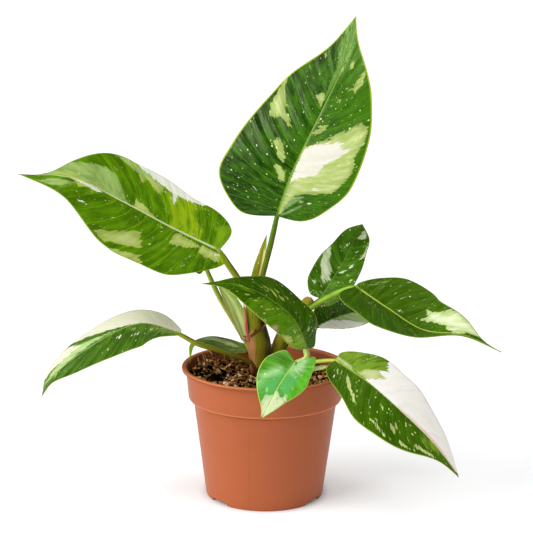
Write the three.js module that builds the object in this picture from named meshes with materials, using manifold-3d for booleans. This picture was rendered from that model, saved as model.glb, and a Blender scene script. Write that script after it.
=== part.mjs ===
// A white princess philodendron in a nursery pot, in millimetres, +Z up.
// The origin is the centre of the pot's foot, on the surface that the pot stands on; the front is -Y.
import * as THREE from 'three';
import { mergeVertices } from 'three/addons/utils/BufferGeometryUtils.js';
import Module from 'manifold-3d';

const wasm = await Module();
wasm.setup();

// Pot, moulded in one piece: a lip, a collar under it, a tapering body and a notched foot ring
const LIP_RADIUS = 60;
const POT_HEIGHT = 94.7;
const LIP_HEIGHT = 2.4;
const COLLAR_TOP_RADIUS = 57;
const COLLAR_FOOT_RADIUS = 55.3;
const COLLAR_FOOT_Z = 73.3;
const COLLAR_CORNER = 2;
const BODY_TOP_RADIUS = 51.7;
const FOOT_RADIUS = 42.4;
const WALL = 1.2;
const FLOOR_Z = 6;
const FOOT_RING_WIDTH = 2.8;
const POT_SEGMENTS = 52;

// Notches in the foot ring, in two pairs either side of the front, and the holes in the raised floor
const POT_TURN = 3;
const NOTCH_SPREAD = 52;
const NOTCH_ANGLES = [-NOTCH_SPREAD, NOTCH_SPREAD, 180 - NOTCH_SPREAD, 180 + NOTCH_SPREAD];
const NOTCH_WIDTH = 19;
const NOTCH_TOP_WIDTH = 14.5;
const NOTCH_HEIGHT = 4.8;
const DRAIN_COUNT = 6;
const DRAIN_RADIUS = 4;
const DRAIN_CIRCLE = 27;
const DRAIN_SEGMENTS = 16;

// Soil, a plug of potting mix with a slightly domed top and a mound of roots and bark at the back left
const SOIL_TOP_Z = 87;
const SOIL_EDGE_Z = 83.5;
const MOUND_CENTRE = [-27, 14, 83];
const MOUND_RADIUS = 20;
const MOUND_SQUASH = 0.5;
const MOUND_SEGMENTS = 16;

// Clearance that every piece keeps to the piece that carries it
const GAP = 0.3;

// Edges shorter than this, left where sockets cross in the soil, are closed up
const SLIVER = 0.05;

// Leaf blades: half the thickness at the midrib and at the margin, and the mesh across a blade
const BLADE_HALF = 0.5;
const MARGIN_HALF = 0.35;
const BLADE_DROOP = 0.08;
const BLADE_ROWS = 14;
const BLADE_COLUMNS = 2;

// Stations along the midrib, as fractions of its length, at which half widths are given
const STATIONS = [0.1, 0.25, 0.45, 0.65, 0.85];
const VEIN_ROOT_POWER = 2.2;
const VEIN_SWEEP_POWER = 1.5;

const STALK_SIDES = 8;
const STALK_STEPS = 8;
const STEM_SIDES = 14;

const DARK_GREEN = 0x2f5a1e;
const MID_GREEN = 0x4d7f22;
const FRESH_GREEN = 0x3f9a3f;
const IVORY = 0xe6e4cf;
const OLIVE = 0x76781f;
const PALE_STALK = 0x9cb84c;
const PINK = 0xb5506a;
const STEM_BROWN = 0x6b5a24;
const SOIL_BROWN = 0x3a2618;
const TERRACOTTA = 0xb9633d;

// Every leaf: five points along its midrib from stalk to tip, the way its upper face looks at the
// base and at the tip, the fold of its two halves in degrees (base, tip), and each half's lobe
// (reach behind the stalk, half width there) and half widths at the stations. Left and right are
// those of someone who looks at the upper face with the tip up. The stalk is a tube whose route
// starts in the stem or the soil; its last stretch runs to the under side of the blade.
const LEAVES = [
	{
		name: 'top', colour: DARK_GREEN,
		midrib: [[7, 2, 203], [19, 6, 237], [38, 14, 276], [53, 26, 308], [62, 38, 341]],
		face: [[-0.2, -1, 0.25], [-0.4, -0.9, 0.25]], fold: [3, 3],
		left: { lobe: [6, 27], widths: [50, 49, 41, 31, 12] },
		right: { lobe: [-3, 19], widths: [32, 43, 41, 28, 8] },
		stalk: { route: [[-8, 2, 136], [-4, 2, 149], [0, 2, 168], [4, 3, 187]], radius: 2 },
	},
	{
		name: 'upper_left', colour: MID_GREEN,
		midrib: [[-33, -8, 180], [-66, -13, 197], [-99, -20, 216], [-132, -27, 233], [-165, -32, 236]],
		face: [[0.1, -0.8, 0.6], [0, -0.7, 0.7]], fold: [8, 8],
		left: { lobe: [6, 9], widths: [28, 37, 39, 29, 14] },
		right: { lobe: [3, 18], widths: [27, 28, 32, 27, 3] },
		stalk: { route: [[-9, 0, 134], [-13, -2, 145], [-19, -4, 157], [-26, -6, 168]], radius: 2.5 },
	},
	{
		name: 'left_hidden', colour: MID_GREEN,
		midrib: [[-43, 8, 165], [-55, 16, 184], [-69, 23, 202], [-86, 28, 217], [-104, 31, 230]],
		face: [[0.3, -0.7, 0.6], [0.3, -0.7, 0.6]], fold: [10, 14],
		left: { lobe: [3, 9], widths: [14, 19, 18, 13, 5] },
		right: { lobe: [3, 9], widths: [14, 20, 20, 15, 6] },
		stalk: { route: [[-7, 2, 97], [-13, 2, 109], [-22, 4, 124], [-34, 6, 144]], radius: 1.8 },
	},
	{
		name: 'centre_front', colour: DARK_GREEN,
		midrib: [[29, -30, 116], [19, -35, 138], [0, -42, 155], [-21, -50, 165], [-43, -56, 167]],
		face: [[0.3, -0.55, 0.8], [0.1, -0.5, 0.85]], fold: [0, 0],
		left: { lobe: [-4, 8], widths: [14, 20, 22, 18, 5] },
		right: { lobe: [4, 9], widths: [22, 21, 23, 12, 4] },
		stalk: { route: [[4, -11, 82], [11, -22, 96], [21, -33, 106], [29, -36, 110]], radius: 2.4 },
	},
	{
		name: 'right_upper', colour: DARK_GREEN,
		midrib: [[39, 14, 141], [47, 18, 153], [56, 25, 166], [63, 33, 179], [70, 40, 191]],
		face: [[-0.3, -0.9, 0.4], [-0.1, -1, 0.3]], fold: [15, 15],
		left: { lobe: [1, 8], widths: [15, 17, 17, 12, 7] },
		right: { lobe: [3, 9], widths: [14, 17, 16, 13, 9] },
		stalk: { route: [[24, 10, 131], [31, 13, 134]], radius: 1.7 },
	},
	{
		name: 'right_long', colour: DARK_GREEN,
		midrib: [[63, -8, 155], [86, -12, 140], [110, -20, 127], [137, -30, 126], [163, -36, 116]],
		face: [[0.1, -0.6, 0.8], [0.3, -0.4, 0.85]], fold: [14, 36],
		left: { lobe: [1, 8], widths: [17, 25, 29, 20, 4] },
		right: { lobe: [7, 19], widths: [25, 28, 22, 11, 2] },
		stalk: { route: [[18, 7, 126], [27, 6, 132], [39, 4, 141], [51, -1, 149]], radius: 2 },
	},
	{
		name: 'right_behind', colour: DARK_GREEN,
		midrib: [[38, 17, 120], [49, 25, 123], [63, 40, 124], [77, 60, 122], [87, 80, 115]],
		face: [[0.2, -0.6, 0.8], [0.1, -0.4, 0.9]], fold: [8, 12],
		left: { lobe: [1, 7], widths: [13, 17, 17, 13, 5] },
		right: { lobe: [0, 3], widths: [6, 12, 16, 13, 5] },
		stalk: { route: [[9, 15, 82], [13, 15, 102], [23, 16, 114]], radius: 1.7 },
	},
	{
		name: 'right_low', colour: MID_GREEN,
		midrib: [[48, -46, 112], [72, -57, 98], [93, -65, 81], [115, -66, 59], [133, -62, 34]],
		face: [[0.2, -0.8, 0.6], [0.4, -0.8, 0.5]], fold: [-4, -4],
		left: { lobe: [0, 8], widths: [18, 24, 24, 18, 8] },
		right: { lobe: [1, 10], widths: [17, 24, 26, 18, 5] },
		stalk: { route: [[14, -10, 82], [24, -26, 102], [35, -35, 107]], radius: 1.5 },
	},
	{
		name: 'front_small', colour: FRESH_GREEN,
		midrib: [[20, -64, 115], [13, -70, 107], [7, -74, 98], [2, -76, 88], [-3, -77, 79]],
		face: [[-0.1, -0.95, 0.35], [-0.1, -1, 0.1]], fold: [4, 4],
		left: { lobe: [10, 9], widths: [15, 16, 13, 8, 3] },
		right: { lobe: [3, 10], widths: [16, 18, 16, 10, 3] },
		stalk: { route: [[-3, -13, 82], [3, -29, 98], [11, -47, 108]], radius: 1.5 },
	},
	{
		name: 'left_low', colour: IVORY,
		midrib: [[-60, -20, 123], [-87, -24, 131], [-115, -30, 120], [-144, -36, 99], [-155, -40, 82]],
		face: [[0.1, -0.65, 0.75], [0, -0.65, 0.75]], fold: [-14, -14],
		left: { lobe: [0, 5], widths: [9, 16, 15, 10, 2] },
		right: { lobe: [1, 8], widths: [14, 15, 15, 13, 9] },
		stalk: { route: [[-3, -3, 91], [-14, -5, 99], [-35, -10, 108], [-48, -15, 114]], radius: 2 },
	},
	{
		name: 'left_small', colour: MID_GREEN,
		midrib: [[-14, 20, 100], [-28, 20, 101], [-41, 16, 106], [-52, 7, 107], [-54, -7, 97.5]],
		face: [[0.1, -0.3, 0.95], [-0.6, -0.4, 0.7]], fold: [15, 15],
		left: { lobe: [0, 4], widths: [6, 8, 8, 5, 2] },
		right: { lobe: [1, 5], widths: [8, 11, 9, 7, 3] },
		stalk: { route: [[-3, 6, 87], [-9, 14, 94]], radius: 1.3 },
	},
];

// Sheaths that wrapped new growth: blades without lobes, folded into a channel
const SHEATHS = [
	{
		name: 'sheath_top', colour: OLIVE,
		midrib: [[-8, 5, 146], [-6, 6, 157], [-4, 6, 168], [-2, 6, 179], [0, 5, 189]],
		face: [[-0.3, -1, 0], [-0.3, -1, 0]], fold: [20, 20],
		left: { lobe: [0, 2], widths: [4, 5, 4.5, 3, 1.5] },
		right: { lobe: [0, 2], widths: [4, 5, 4.5, 3, 1.5] },
	},
	{
		name: 'sheath_left', colour: PALE_STALK,
		midrib: [[-18, 0, 113], [-20, 0, 124], [-24, 0, 135], [-29, 1, 145], [-35, 2, 154]],
		face: [[0.3, -1, 0.3], [0.3, -1, 0.3]], fold: [16, 16],
		left: { lobe: [0, 2], widths: [3, 4, 5, 4.5, 2.5] },
		right: { lobe: [0, 2], widths: [3, 4, 5, 4.5, 2.5] },
	},
	{
		name: 'sheath_stem', colour: PINK,
		midrib: [[-15.5, -5, 114], [-15.8, -5, 121], [-16.4, -5, 128], [-17, -5, 134], [-17.5, -5, 140]],
		face: [[-0.8, -0.8, 0.1], [-0.8, -0.8, 0.1]], fold: [-10, -10],
		left: { lobe: [0, 1], widths: [1.6, 2, 2, 1.6, 1] },
		right: { lobe: [0, 1], widths: [1.6, 2, 2, 1.6, 1] },
	},
	{
		name: 'sheath_right_low', colour: PALE_STALK,
		midrib: [[19, -14, 89], [26, -22, 96], [33, -30, 101], [39, -36, 104], [44, -40, 106]],
		face: [[0.2, -0.8, 0.6], [0.2, -0.8, 0.6]], fold: [-15, -15],
		left: { lobe: [0, 1], widths: [1.6, 2, 2, 2, 1.5] },
		right: { lobe: [0, 1], widths: [1.6, 2, 2, 2, 1.5] },
	},
];

// Stems: the lower main stem is thicker than the stretch above its scar
const MAIN_STEM_LOWER = { route: [[-1, 1, 60], [-2, 1, 88], [-5, 1, 106], [-7, 1, 123]], radius: 9 };
const MAIN_STEM_UPPER = { route: [[-6, 1, 118], [-8, 1, 130], [-9, 1, 140]], radius: 6.8 };
const SIDE_STEM = { route: [[9, 7, 66], [8, 7, 92], [9, 7, 108], [17, 8, 125], [31, 10, 140]], radius: 4.3 };

function points( list ) {

	return list.map( ( p ) => new THREE.Vector3( ...p ) );

}

function toSolid( geometry ) {

	const bare = geometry.clone();
	bare.deleteAttribute( 'normal' );
	bare.deleteAttribute( 'uv' );
	const merged = mergeVertices( bare, 1e-4 );
	const vertProperties = Float32Array.from( merged.attributes.position.array );
	const triVerts = Uint32Array.from( merged.index.array );
	return new wasm.Manifold( new wasm.Mesh( { numProp: 3, vertProperties, triVerts } ) );

}

function toMesh( name, solid, colour, roughness = 0.45 ) {

	const { vertProperties, triVerts } = solid.getMesh();
	const geometry = new THREE.BufferGeometry();
	geometry.setAttribute( 'position', new THREE.BufferAttribute( vertProperties, 3 ) );
	geometry.setIndex( new THREE.BufferAttribute( triVerts, 1 ) );
	geometry.computeVertexNormals();
	const mesh = new THREE.Mesh( geometry, new THREE.MeshStandardMaterial( { color: colour, roughness } ) );
	mesh.name = name;
	return mesh;

}

function tube( route, radius, sides = STALK_SIDES, steps = STALK_STEPS ) {

	const path = points( route );
	const corners = [];
	for ( let i = 0; i < sides; i ++ ) {

		const angle = ( i / sides ) * 2 * Math.PI;
		corners.push( new THREE.Vector2( radius * Math.cos( angle ), radius * Math.sin( angle ) ) );

	}

	const extrudePath = new THREE.CatmullRomCurve3( path, false, 'catmullrom', 0.5 );
	const options = { steps, bevelEnabled: false, extrudePath };
	return toSolid( new THREE.ExtrudeGeometry( new THREE.Shape( corners ), options ) );

}

// The room that a tube needs in what carries it: wider by the gap all round, and longer at both ends
function roomFor( route, radius, sides = STALK_SIDES ) {

	const path = points( route );
	const ends = [ [ path[ 0 ], path[ 1 ] ], [ path.at( - 1 ), path.at( - 2 ) ] ];
	let room = tube( route, radius + GAP, sides );
	for ( const [ end, inner ] of ends ) {

		const reach = end.clone().sub( inner ).setLength( GAP );
		const cap = [ end.clone().sub( reach ).toArray(), end.clone().add( reach ).toArray() ];
		room = room.add( tube( cap, radius + GAP, sides, 1 ) );

	}

	return room;

}

// The largest piece of a solid that a cut may have left in several
function largest( solid ) {

	return solid.decompose().sort( ( a, b ) => b.volume() - a.volume() )[ 0 ];

}

// A blade's surface: a station along the midrib, millimetres across (left negative) and a lift off it
function bladePoint( leaf, station, across, lift ) {

	const inside = THREE.MathUtils.clamp( station, 0, 1 );
	const curve = leaf.curve;
	const step = 1e-3;
	const before = curve.getPoint( Math.max( inside - step, 0 ) );
	const after = curve.getPoint( Math.min( inside + step, 1 ) );
	const span = Math.min( inside + step, 1 ) - Math.max( inside - step, 0 );
	const slope = after.sub( before ).divideScalar( span );
	const along = slope.clone().normalize();
	const looks = leaf.facing[ 0 ].clone().lerp( leaf.facing[ 1 ], inside );
	const right = along.clone().cross( looks ).normalize();
	const up = right.clone().cross( along );
	const fold = THREE.MathUtils.degToRad( THREE.MathUtils.lerp( leaf.fold[ 0 ], leaf.fold[ 1 ], inside ) );
	const rise = Math.abs( across ) * Math.sin( fold ) - BLADE_DROOP * across * across / leaf.widest + lift;
	return curve.getPoint( inside )
		.addScaledVector( slope, station - inside )
		.addScaledVector( right, across * Math.cos( fold ) )
		.addScaledVector( up, rise );

}

function marginOf( half, start, length, grow ) {

	const [ reach, lobeWidth ] = half.lobe;
	const lobe = new THREE.Vector2( start - reach / length, lobeWidth + grow );
	const outline = [ new THREE.Vector2( start, 0 ), lobe ];
	STATIONS.forEach( ( station, i ) => outline.push( new THREE.Vector2( station, half.widths[ i ] + grow ) ) );
	outline.push( new THREE.Vector2( 1, 0 ) );
	return new THREE.SplineCurve( outline );

}

function asLeaf( spec ) {

	const curve = new THREE.CatmullRomCurve3( points( spec.midrib ), false, 'catmullrom', 0.5 );
	const widest = Math.max( ...spec.left.widths, ...spec.right.widths );
	return { ...spec, curve, widest, facing: points( spec.face ) };

}

// A closed thin blade. Rows follow the side veins from the midrib to the margin, so the lobes behind
// the stalk are part of the same mesh; the first row shrinks to the stalk and the last to the tip.
// A grown blade is the room that the blade needs: thicker, wider and starting further back.
function blade( spec, grow = 0 ) {

	const leaf = asLeaf( spec );
	const length = leaf.curve.getLength();
	const start = - 2 * grow / length;
	const margins = {
		'-1': marginOf( spec.left, start, length, grow ),
		1: marginOf( spec.right, start, length, grow ),
	};
	const position = [];
	const index = [];
	const known = new Map();

	function vertex( face, side, row, column ) {

		const end = row === 0 || row === BLADE_ROWS;
		const key = [ face, end || column === 0 ? 0 : side, row, end ? 0 : column ].join();
		if ( ! known.has( key ) ) {

			const t = row / BLADE_ROWS;
			const r = end ? 0 : column / BLADE_COLUMNS;
			const edge = margins[ side ].getPoint( t );
			const root = THREE.MathUtils.lerp( start, 1, t ** VEIN_ROOT_POWER );
			const station = root + ( edge.x - root ) * r ** VEIN_SWEEP_POWER;
			const half = THREE.MathUtils.lerp( BLADE_HALF, MARGIN_HALF, r ) + grow;
			const p = bladePoint( leaf, station, side * edge.y * r, face * half );
			known.set( key, position.length / 3 );
			position.push( p.x, p.y, p.z );

		}

		return known.get( key );

	}

	function triangle( a, b, c, flip ) {

		if ( a !== b && b !== c && a !== c ) index.push( a, flip ? c : b, flip ? b : c );

	}

	for ( const side of [ - 1, 1 ] ) {

		for ( let row = 0; row < BLADE_ROWS; row ++ ) {

			for ( const face of [ - 1, 1 ] ) {

				for ( let column = 0; column < BLADE_COLUMNS; column ++ ) {

					const a = vertex( face, side, row, column );
					const b = vertex( face, side, row, column + 1 );
					const c = vertex( face, side, row + 1, column + 1 );
					const d = vertex( face, side, row + 1, column );
					triangle( a, b, c, face * side < 0 );
					triangle( a, c, d, face * side < 0 );

				}

			}

			const low = vertex( - 1, side, row, BLADE_COLUMNS );
			const lowNext = vertex( - 1, side, row + 1, BLADE_COLUMNS );
			const high = vertex( 1, side, row, BLADE_COLUMNS );
			const highNext = vertex( 1, side, row + 1, BLADE_COLUMNS );
			triangle( low, lowNext, highNext, side < 0 );
			triangle( low, highNext, high, side < 0 );

		}

	}

	const geometry = new THREE.BufferGeometry();
	geometry.setAttribute( 'position', new THREE.Float32BufferAttribute( position, 3 ) );
	geometry.setIndex( index );
	return toSolid( geometry );

}

function lathe( profile, segments ) {

	const outline = profile.map( ( p ) => new THREE.Vector2( ...p ) );
	const geometry = new THREE.LatheGeometry( outline, segments );
	geometry.rotateX( Math.PI / 2 );
	return toSolid( geometry );

}

// The pot's inner wall, from the floor up to the lip
const INNER_WALL = [
	[ FOOT_RADIUS + FLOOR_Z * ( BODY_TOP_RADIUS - FOOT_RADIUS ) / COLLAR_FOOT_Z - WALL, FLOOR_Z + WALL ],
	[ BODY_TOP_RADIUS - WALL, COLLAR_FOOT_Z - COLLAR_CORNER - WALL ],
	[ BODY_TOP_RADIUS - WALL, COLLAR_FOOT_Z - WALL / 2 ],
	[ COLLAR_FOOT_RADIUS - WALL, COLLAR_FOOT_Z + WALL ],
	[ COLLAR_TOP_RADIUS - WALL, POT_HEIGHT - LIP_HEIGHT ],
	[ COLLAR_TOP_RADIUS, POT_HEIGHT ],
];

function pot() {

	const profile = [
		[ 0, FLOOR_Z ],
		[ FOOT_RADIUS - FOOT_RING_WIDTH - 1, FLOOR_Z ],
		[ FOOT_RADIUS - FOOT_RING_WIDTH, 0 ],
		[ FOOT_RADIUS, 0 ],
		[ BODY_TOP_RADIUS, COLLAR_FOOT_Z - COLLAR_CORNER ],
		[ COLLAR_FOOT_RADIUS - COLLAR_CORNER, COLLAR_FOOT_Z - COLLAR_CORNER ],
		[ COLLAR_FOOT_RADIUS - COLLAR_CORNER / 4, COLLAR_FOOT_Z - COLLAR_CORNER / 2 ],
		[ COLLAR_FOOT_RADIUS, COLLAR_FOOT_Z + COLLAR_CORNER / 2 ],
		[ COLLAR_TOP_RADIUS, POT_HEIGHT - LIP_HEIGHT * 2 ],
		[ COLLAR_TOP_RADIUS, POT_HEIGHT - LIP_HEIGHT ],
		[ LIP_RADIUS - LIP_HEIGHT / 4, POT_HEIGHT - LIP_HEIGHT ],
		[ LIP_RADIUS, POT_HEIGHT - LIP_HEIGHT / 2 ],
		[ LIP_RADIUS - LIP_HEIGHT / 3, POT_HEIGHT ],
		...INNER_WALL.toReversed(),
		[ 0, FLOOR_Z + WALL ],
	];
	let solid = lathe( profile, POT_SEGMENTS );

	// Foot notches: a trapezium cut out through the ring, from the pot's middle outwards
	for ( const angle of NOTCH_ANGLES ) {

		const outline = new THREE.Shape( [
			new THREE.Vector2( - NOTCH_WIDTH / 2, - 1 ),
			new THREE.Vector2( NOTCH_WIDTH / 2, - 1 ),
			new THREE.Vector2( NOTCH_TOP_WIDTH / 2, NOTCH_HEIGHT ),
			new THREE.Vector2( - NOTCH_TOP_WIDTH / 2, NOTCH_HEIGHT ),
		] );
		const cutter = new THREE.ExtrudeGeometry( outline, { depth: FOOT_RADIUS, bevelEnabled: false } );
		cutter.translate( 0, 0, FOOT_RADIUS / 2 );
		cutter.rotateX( Math.PI / 2 );
		cutter.rotateZ( THREE.MathUtils.degToRad( angle + POT_TURN ) );
		solid = solid.subtract( toSolid( cutter ) );

	}

	for ( let i = 0; i < DRAIN_COUNT; i ++ ) {

		const angle = ( i / DRAIN_COUNT ) * 2 * Math.PI;
		const drill = new THREE.CylinderGeometry( DRAIN_RADIUS, DRAIN_RADIUS, FLOOR_Z * 2, DRAIN_SEGMENTS );
		drill.rotateX( Math.PI / 2 );
		drill.translate( DRAIN_CIRCLE * Math.cos( angle ), DRAIN_CIRCLE * Math.sin( angle ), FLOOR_Z );
		solid = solid.subtract( toSolid( drill ) );

	}

	return solid;

}

function soil( rooted ) {

	const wall = INNER_WALL.slice( 0, 4 ).map( ( [ r, z ] ) => [ r - GAP, z + GAP ] );
	const [ lastRadius ] = wall[ 3 ];
	const profile = [
		[ 0, FLOOR_Z + WALL + GAP ],
		...wall,
		[ lastRadius + GAP, SOIL_EDGE_Z ],
		[ LIP_RADIUS / 2, SOIL_TOP_Z - 1 ],
		[ 0, SOIL_TOP_Z ],
	];
	const mound = new THREE.SphereGeometry( MOUND_RADIUS, MOUND_SEGMENTS, MOUND_SEGMENTS / 2 );
	mound.rotateX( Math.PI / 2 );
	mound.scale( 1, 1, MOUND_SQUASH );
	mound.translate( ...MOUND_CENTRE );
	let solid = lathe( profile, POT_SEGMENTS ).add( toSolid( mound ) );
	for ( const piece of rooted ) solid = solid.subtract( piece );
	return largest( solid ).simplify( SLIVER );

}

const plant = new THREE.Group();

const mainStem = tube( MAIN_STEM_LOWER.route, MAIN_STEM_LOWER.radius, STEM_SIDES )
	.add( tube( MAIN_STEM_UPPER.route, MAIN_STEM_UPPER.radius, STEM_SIDES ) );
const mainStemRoom = roomFor( MAIN_STEM_LOWER.route, MAIN_STEM_LOWER.radius, STEM_SIDES )
	.add( roomFor( MAIN_STEM_UPPER.route, MAIN_STEM_UPPER.radius, STEM_SIDES ) );
const sideStemRoom = roomFor( SIDE_STEM.route, SIDE_STEM.radius );
const sideStem = largest( tube( SIDE_STEM.route, SIDE_STEM.radius ).subtract( mainStemRoom ) );
const rooted = [ mainStemRoom, sideStemRoom ];

for ( const leaf of LEAVES ) {

	const { route, radius } = leaf.stalk;
	const underside = bladePoint( asLeaf( leaf ), 0, 0, - BLADE_HALF - GAP ).toArray();
	const whole = [ ...route, underside ];
	const stalk = tube( whole, radius )
		.subtract( mainStemRoom )
		.subtract( sideStemRoom )
		.subtract( blade( leaf, 2 * GAP ) );
	rooted.push( roomFor( whole, radius ) );
	plant.add( toMesh( `leaf_${ leaf.name }`, blade( leaf ), leaf.colour, 0.35 ) );
	plant.add( toMesh( `stalk_${ leaf.name }`, largest( stalk ), OLIVE ) );

}

for ( const sheath of SHEATHS ) {

	let trimmed = blade( sheath );
	for ( const piece of rooted ) trimmed = trimmed.subtract( piece );
	plant.add( toMesh( sheath.name, largest( trimmed ), sheath.colour ) );

}

plant.add( toMesh( 'main_stem', mainStem, STEM_BROWN, 0.6 ) );
plant.add( toMesh( 'side_stem', sideStem, STEM_BROWN, 0.6 ) );
plant.add( toMesh( 'soil', soil( rooted ), SOIL_BROWN, 0.95 ) );
plant.add( toMesh( 'pot', pot(), TERRACOTTA ) );

export default plant;
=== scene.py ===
import math

import bmesh
import bpy
import numpy as np
from mathutils import Matrix, Vector, noise


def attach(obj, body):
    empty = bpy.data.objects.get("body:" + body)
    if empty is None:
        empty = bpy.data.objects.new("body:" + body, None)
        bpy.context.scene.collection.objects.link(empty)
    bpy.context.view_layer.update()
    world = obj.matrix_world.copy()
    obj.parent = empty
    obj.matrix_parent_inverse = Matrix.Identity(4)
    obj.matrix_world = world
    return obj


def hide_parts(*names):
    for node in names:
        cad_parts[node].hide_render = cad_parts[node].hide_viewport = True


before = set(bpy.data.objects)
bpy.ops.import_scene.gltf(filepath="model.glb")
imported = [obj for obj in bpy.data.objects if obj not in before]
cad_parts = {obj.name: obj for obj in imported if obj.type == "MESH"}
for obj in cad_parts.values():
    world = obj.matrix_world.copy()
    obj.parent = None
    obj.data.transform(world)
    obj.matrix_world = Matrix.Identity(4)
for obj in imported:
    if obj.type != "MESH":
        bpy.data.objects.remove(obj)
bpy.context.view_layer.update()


# Camera: level with the upper leaves and a metre in front of the pot, looking a little down at it
# through a long lens, as the plant was photographed.
def placed(name, data):
    """A new object in the scene that shows the given data."""
    thing = bpy.data.objects.new(name, data)
    bpy.context.scene.collection.objects.link(thing)
    return thing


CAMERA_PLACE = (0.0001, -1.0, 0.3797)
CAMERA_TILT = 78.0
CAMERA_ROLL = 0.51
LENS_MM = 97.6

camera = placed("camera", bpy.data.cameras.new("camera"))
camera.data.lens = LENS_MM
tilt = Matrix.Rotation(math.radians(CAMERA_TILT), 4, "X")
roll = Matrix.Rotation(math.radians(CAMERA_ROLL), 4, "Z")
camera.matrix_world = Matrix.Translation(CAMERA_PLACE) @ tilt @ roll
bpy.context.scene.camera = camera
bpy.context.scene.view_settings.view_transform = "Standard"


# Studio: a white sweep under a soft sky, with one large soft light at the upper left, a smaller one
# beside it that gives the leaves their glint, a weak one at the right and one overhead.
def paint(red, green, blue):
    """A colour given as 0 to 255, as the linear values that a shader takes."""
    share = np.array([red, green, blue]) / 255
    linear = np.where(share <= 0.04045, share / 12.92, ((share + 0.055) / 1.055) ** 2.4)
    return (*linear.tolist(), 1.0)


def feed(tree, node, inputs):
    """Links the sockets among a node's inputs, and sets the plain values."""
    for key, value in inputs.items():
        if isinstance(value, bpy.types.NodeSocket):
            tree.links.new(value, node.inputs[key])
        else:
            node.inputs[key].default_value = value


def add(tree, kind, inputs=None, **settings):
    """One new node of a tree."""
    node = tree.nodes.new(kind)
    for name, value in settings.items():
        setattr(node, name, value)
    feed(tree, node, inputs or {})
    return node


def made(tree, kind, inputs=None, **settings):
    """What the first output of one new node gives."""
    return add(tree, kind, inputs, **settings).outputs[0]


def tree_of(*values):
    """The tree that the first socket among some values belongs to."""
    return next(value.id_data for value in values if isinstance(value, bpy.types.NodeSocket))


def maths(operation, *values):
    inputs = dict(enumerate(values))
    return made(tree_of(*values), "ShaderNodeMath", inputs, operation=operation)


def times(value, factor):
    return maths("MULTIPLY", value, factor)


def vectors(operation, vector, second=None, output=0):
    """Vector maths, whose second value is a vector, or a number where the first is scaled."""
    inputs = {} if second is None else {"Scale" if operation == "SCALE" else 1: second}
    node = add(tree_of(vector), "ShaderNodeVectorMath", {0: vector, **inputs}, operation=operation)
    return node.outputs[output]


def ramp(value, low, high, to_low=0.0, to_high=1.0, kind="SMOOTHSTEP"):
    """A value that goes from one number to another while the one it follows goes from low to high."""
    inputs = {"Value": value, "From Min": low, "From Max": high, "To Min": to_low, "To Max": to_high}
    return made(tree_of(value), "ShaderNodeMapRange", inputs, interpolation_type=kind)


def own_place(tree):
    return add(tree, "ShaderNodeTexCoord").outputs["Object"]


def finish_for(name, roughness, specular):
    """A new material, its tree and its Principled node."""
    material = bpy.data.materials.new(name)
    material.use_nodes = True
    tree = material.node_tree
    tree.nodes.clear()
    inputs = {"Roughness": roughness, "Specular IOR Level": specular}
    principled = add(tree, "ShaderNodeBsdfPrincipled", inputs)
    add(tree, "ShaderNodeOutputMaterial", {"Surface": principled.outputs["BSDF"]})
    return material, tree, principled


SKY_LIGHT = 0.24
SKY_SEEN = 1.0
SWEEP_WHITE = (212, 213, 214)
SWEEP_GLOW = 0.56
SWEEP_RADIUS = 30.0
SWEEP_SIDES = 96
# Painted shadows, where the sweep's glow fades: a squeeze of its plan, the radii where that starts and
# ends, in metres, and the least of the glow. One is a painted shadow under the pot, the other a painted
# shade beside its foot.
SWEEP_PAINTED_SHADOWS = (((1, 1, 1), 0.036, 0.05, 0.0), ((0.55, 1.15, 1), 0.022, 0.06, 0.72))
# Each light: the way towards it, its strength and how many degrees wide it is
SOFT_LIGHTS = {
    "key": ((-1.0, -0.35, 0.65), 2.15, 45.0),
    "glint": ((-0.75, -0.75, 0.5), 0.6, 14.0),
    "fill": ((0.8, -0.7, 0.4), 0.2, 60.0),
    "overhead": ((0.0, -0.25, 1.0), 0.7, 45.0),
}

world = bpy.data.worlds.new("studio")
bpy.context.scene.world = world
world.use_nodes = True
tree = world.node_tree
tree.nodes.clear()
seen = add(tree, "ShaderNodeLightPath").outputs["Is Camera Ray"]
sky = ramp(seen, 0.0, 1.0, SKY_LIGHT, SKY_SEEN, "LINEAR")
glow = made(tree, "ShaderNodeBackground", {"Color": (1, 1, 1, 1), "Strength": sky})
add(tree, "ShaderNodeOutputWorld", {"Surface": glow})

for light_name, (towards, strength, spread) in SOFT_LIGHTS.items():
    lamp = bpy.data.lights.new(light_name, "SUN")
    lamp.energy = strength
    lamp.angle = math.radians(spread)
    placed(light_name, lamp).rotation_euler = Vector(towards).to_track_quat("Z", "Y").to_euler()

sweep_finish, tree, shader = finish_for("sweep", roughness=0.7, specular=0.1)
place = own_place(tree)
# The sweep's even glow, cut away under the pot and dimmed beside its foot as painted shadow
glow = SWEEP_GLOW
for squeeze, near_edge, far_edge, least in SWEEP_PAINTED_SHADOWS:
    away = vectors("LENGTH", vectors("MULTIPLY", place, squeeze), output="Value")
    glow = times(ramp(away, near_edge, far_edge, least), glow)
colours = {"Base Color": paint(*SWEEP_WHITE), "Emission Color": paint(255, 255, 255)}
feed(tree, shader, {**colours, "Emission Strength": glow})
turns = np.linspace(0, 2 * np.pi, SWEEP_SIDES, endpoint=False)
ring = np.stack([SWEEP_RADIUS * np.cos(turns), SWEEP_RADIUS * np.sin(turns), 0 * turns], 1)
sweep_mesh = bpy.data.meshes.new("sweep")
sweep_mesh.from_pydata(ring.tolist(), [], [list(range(SWEEP_SIDES))])
sweep_mesh.materials.append(sweep_finish)
sweep = placed("sweep", sweep_mesh)


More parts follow.
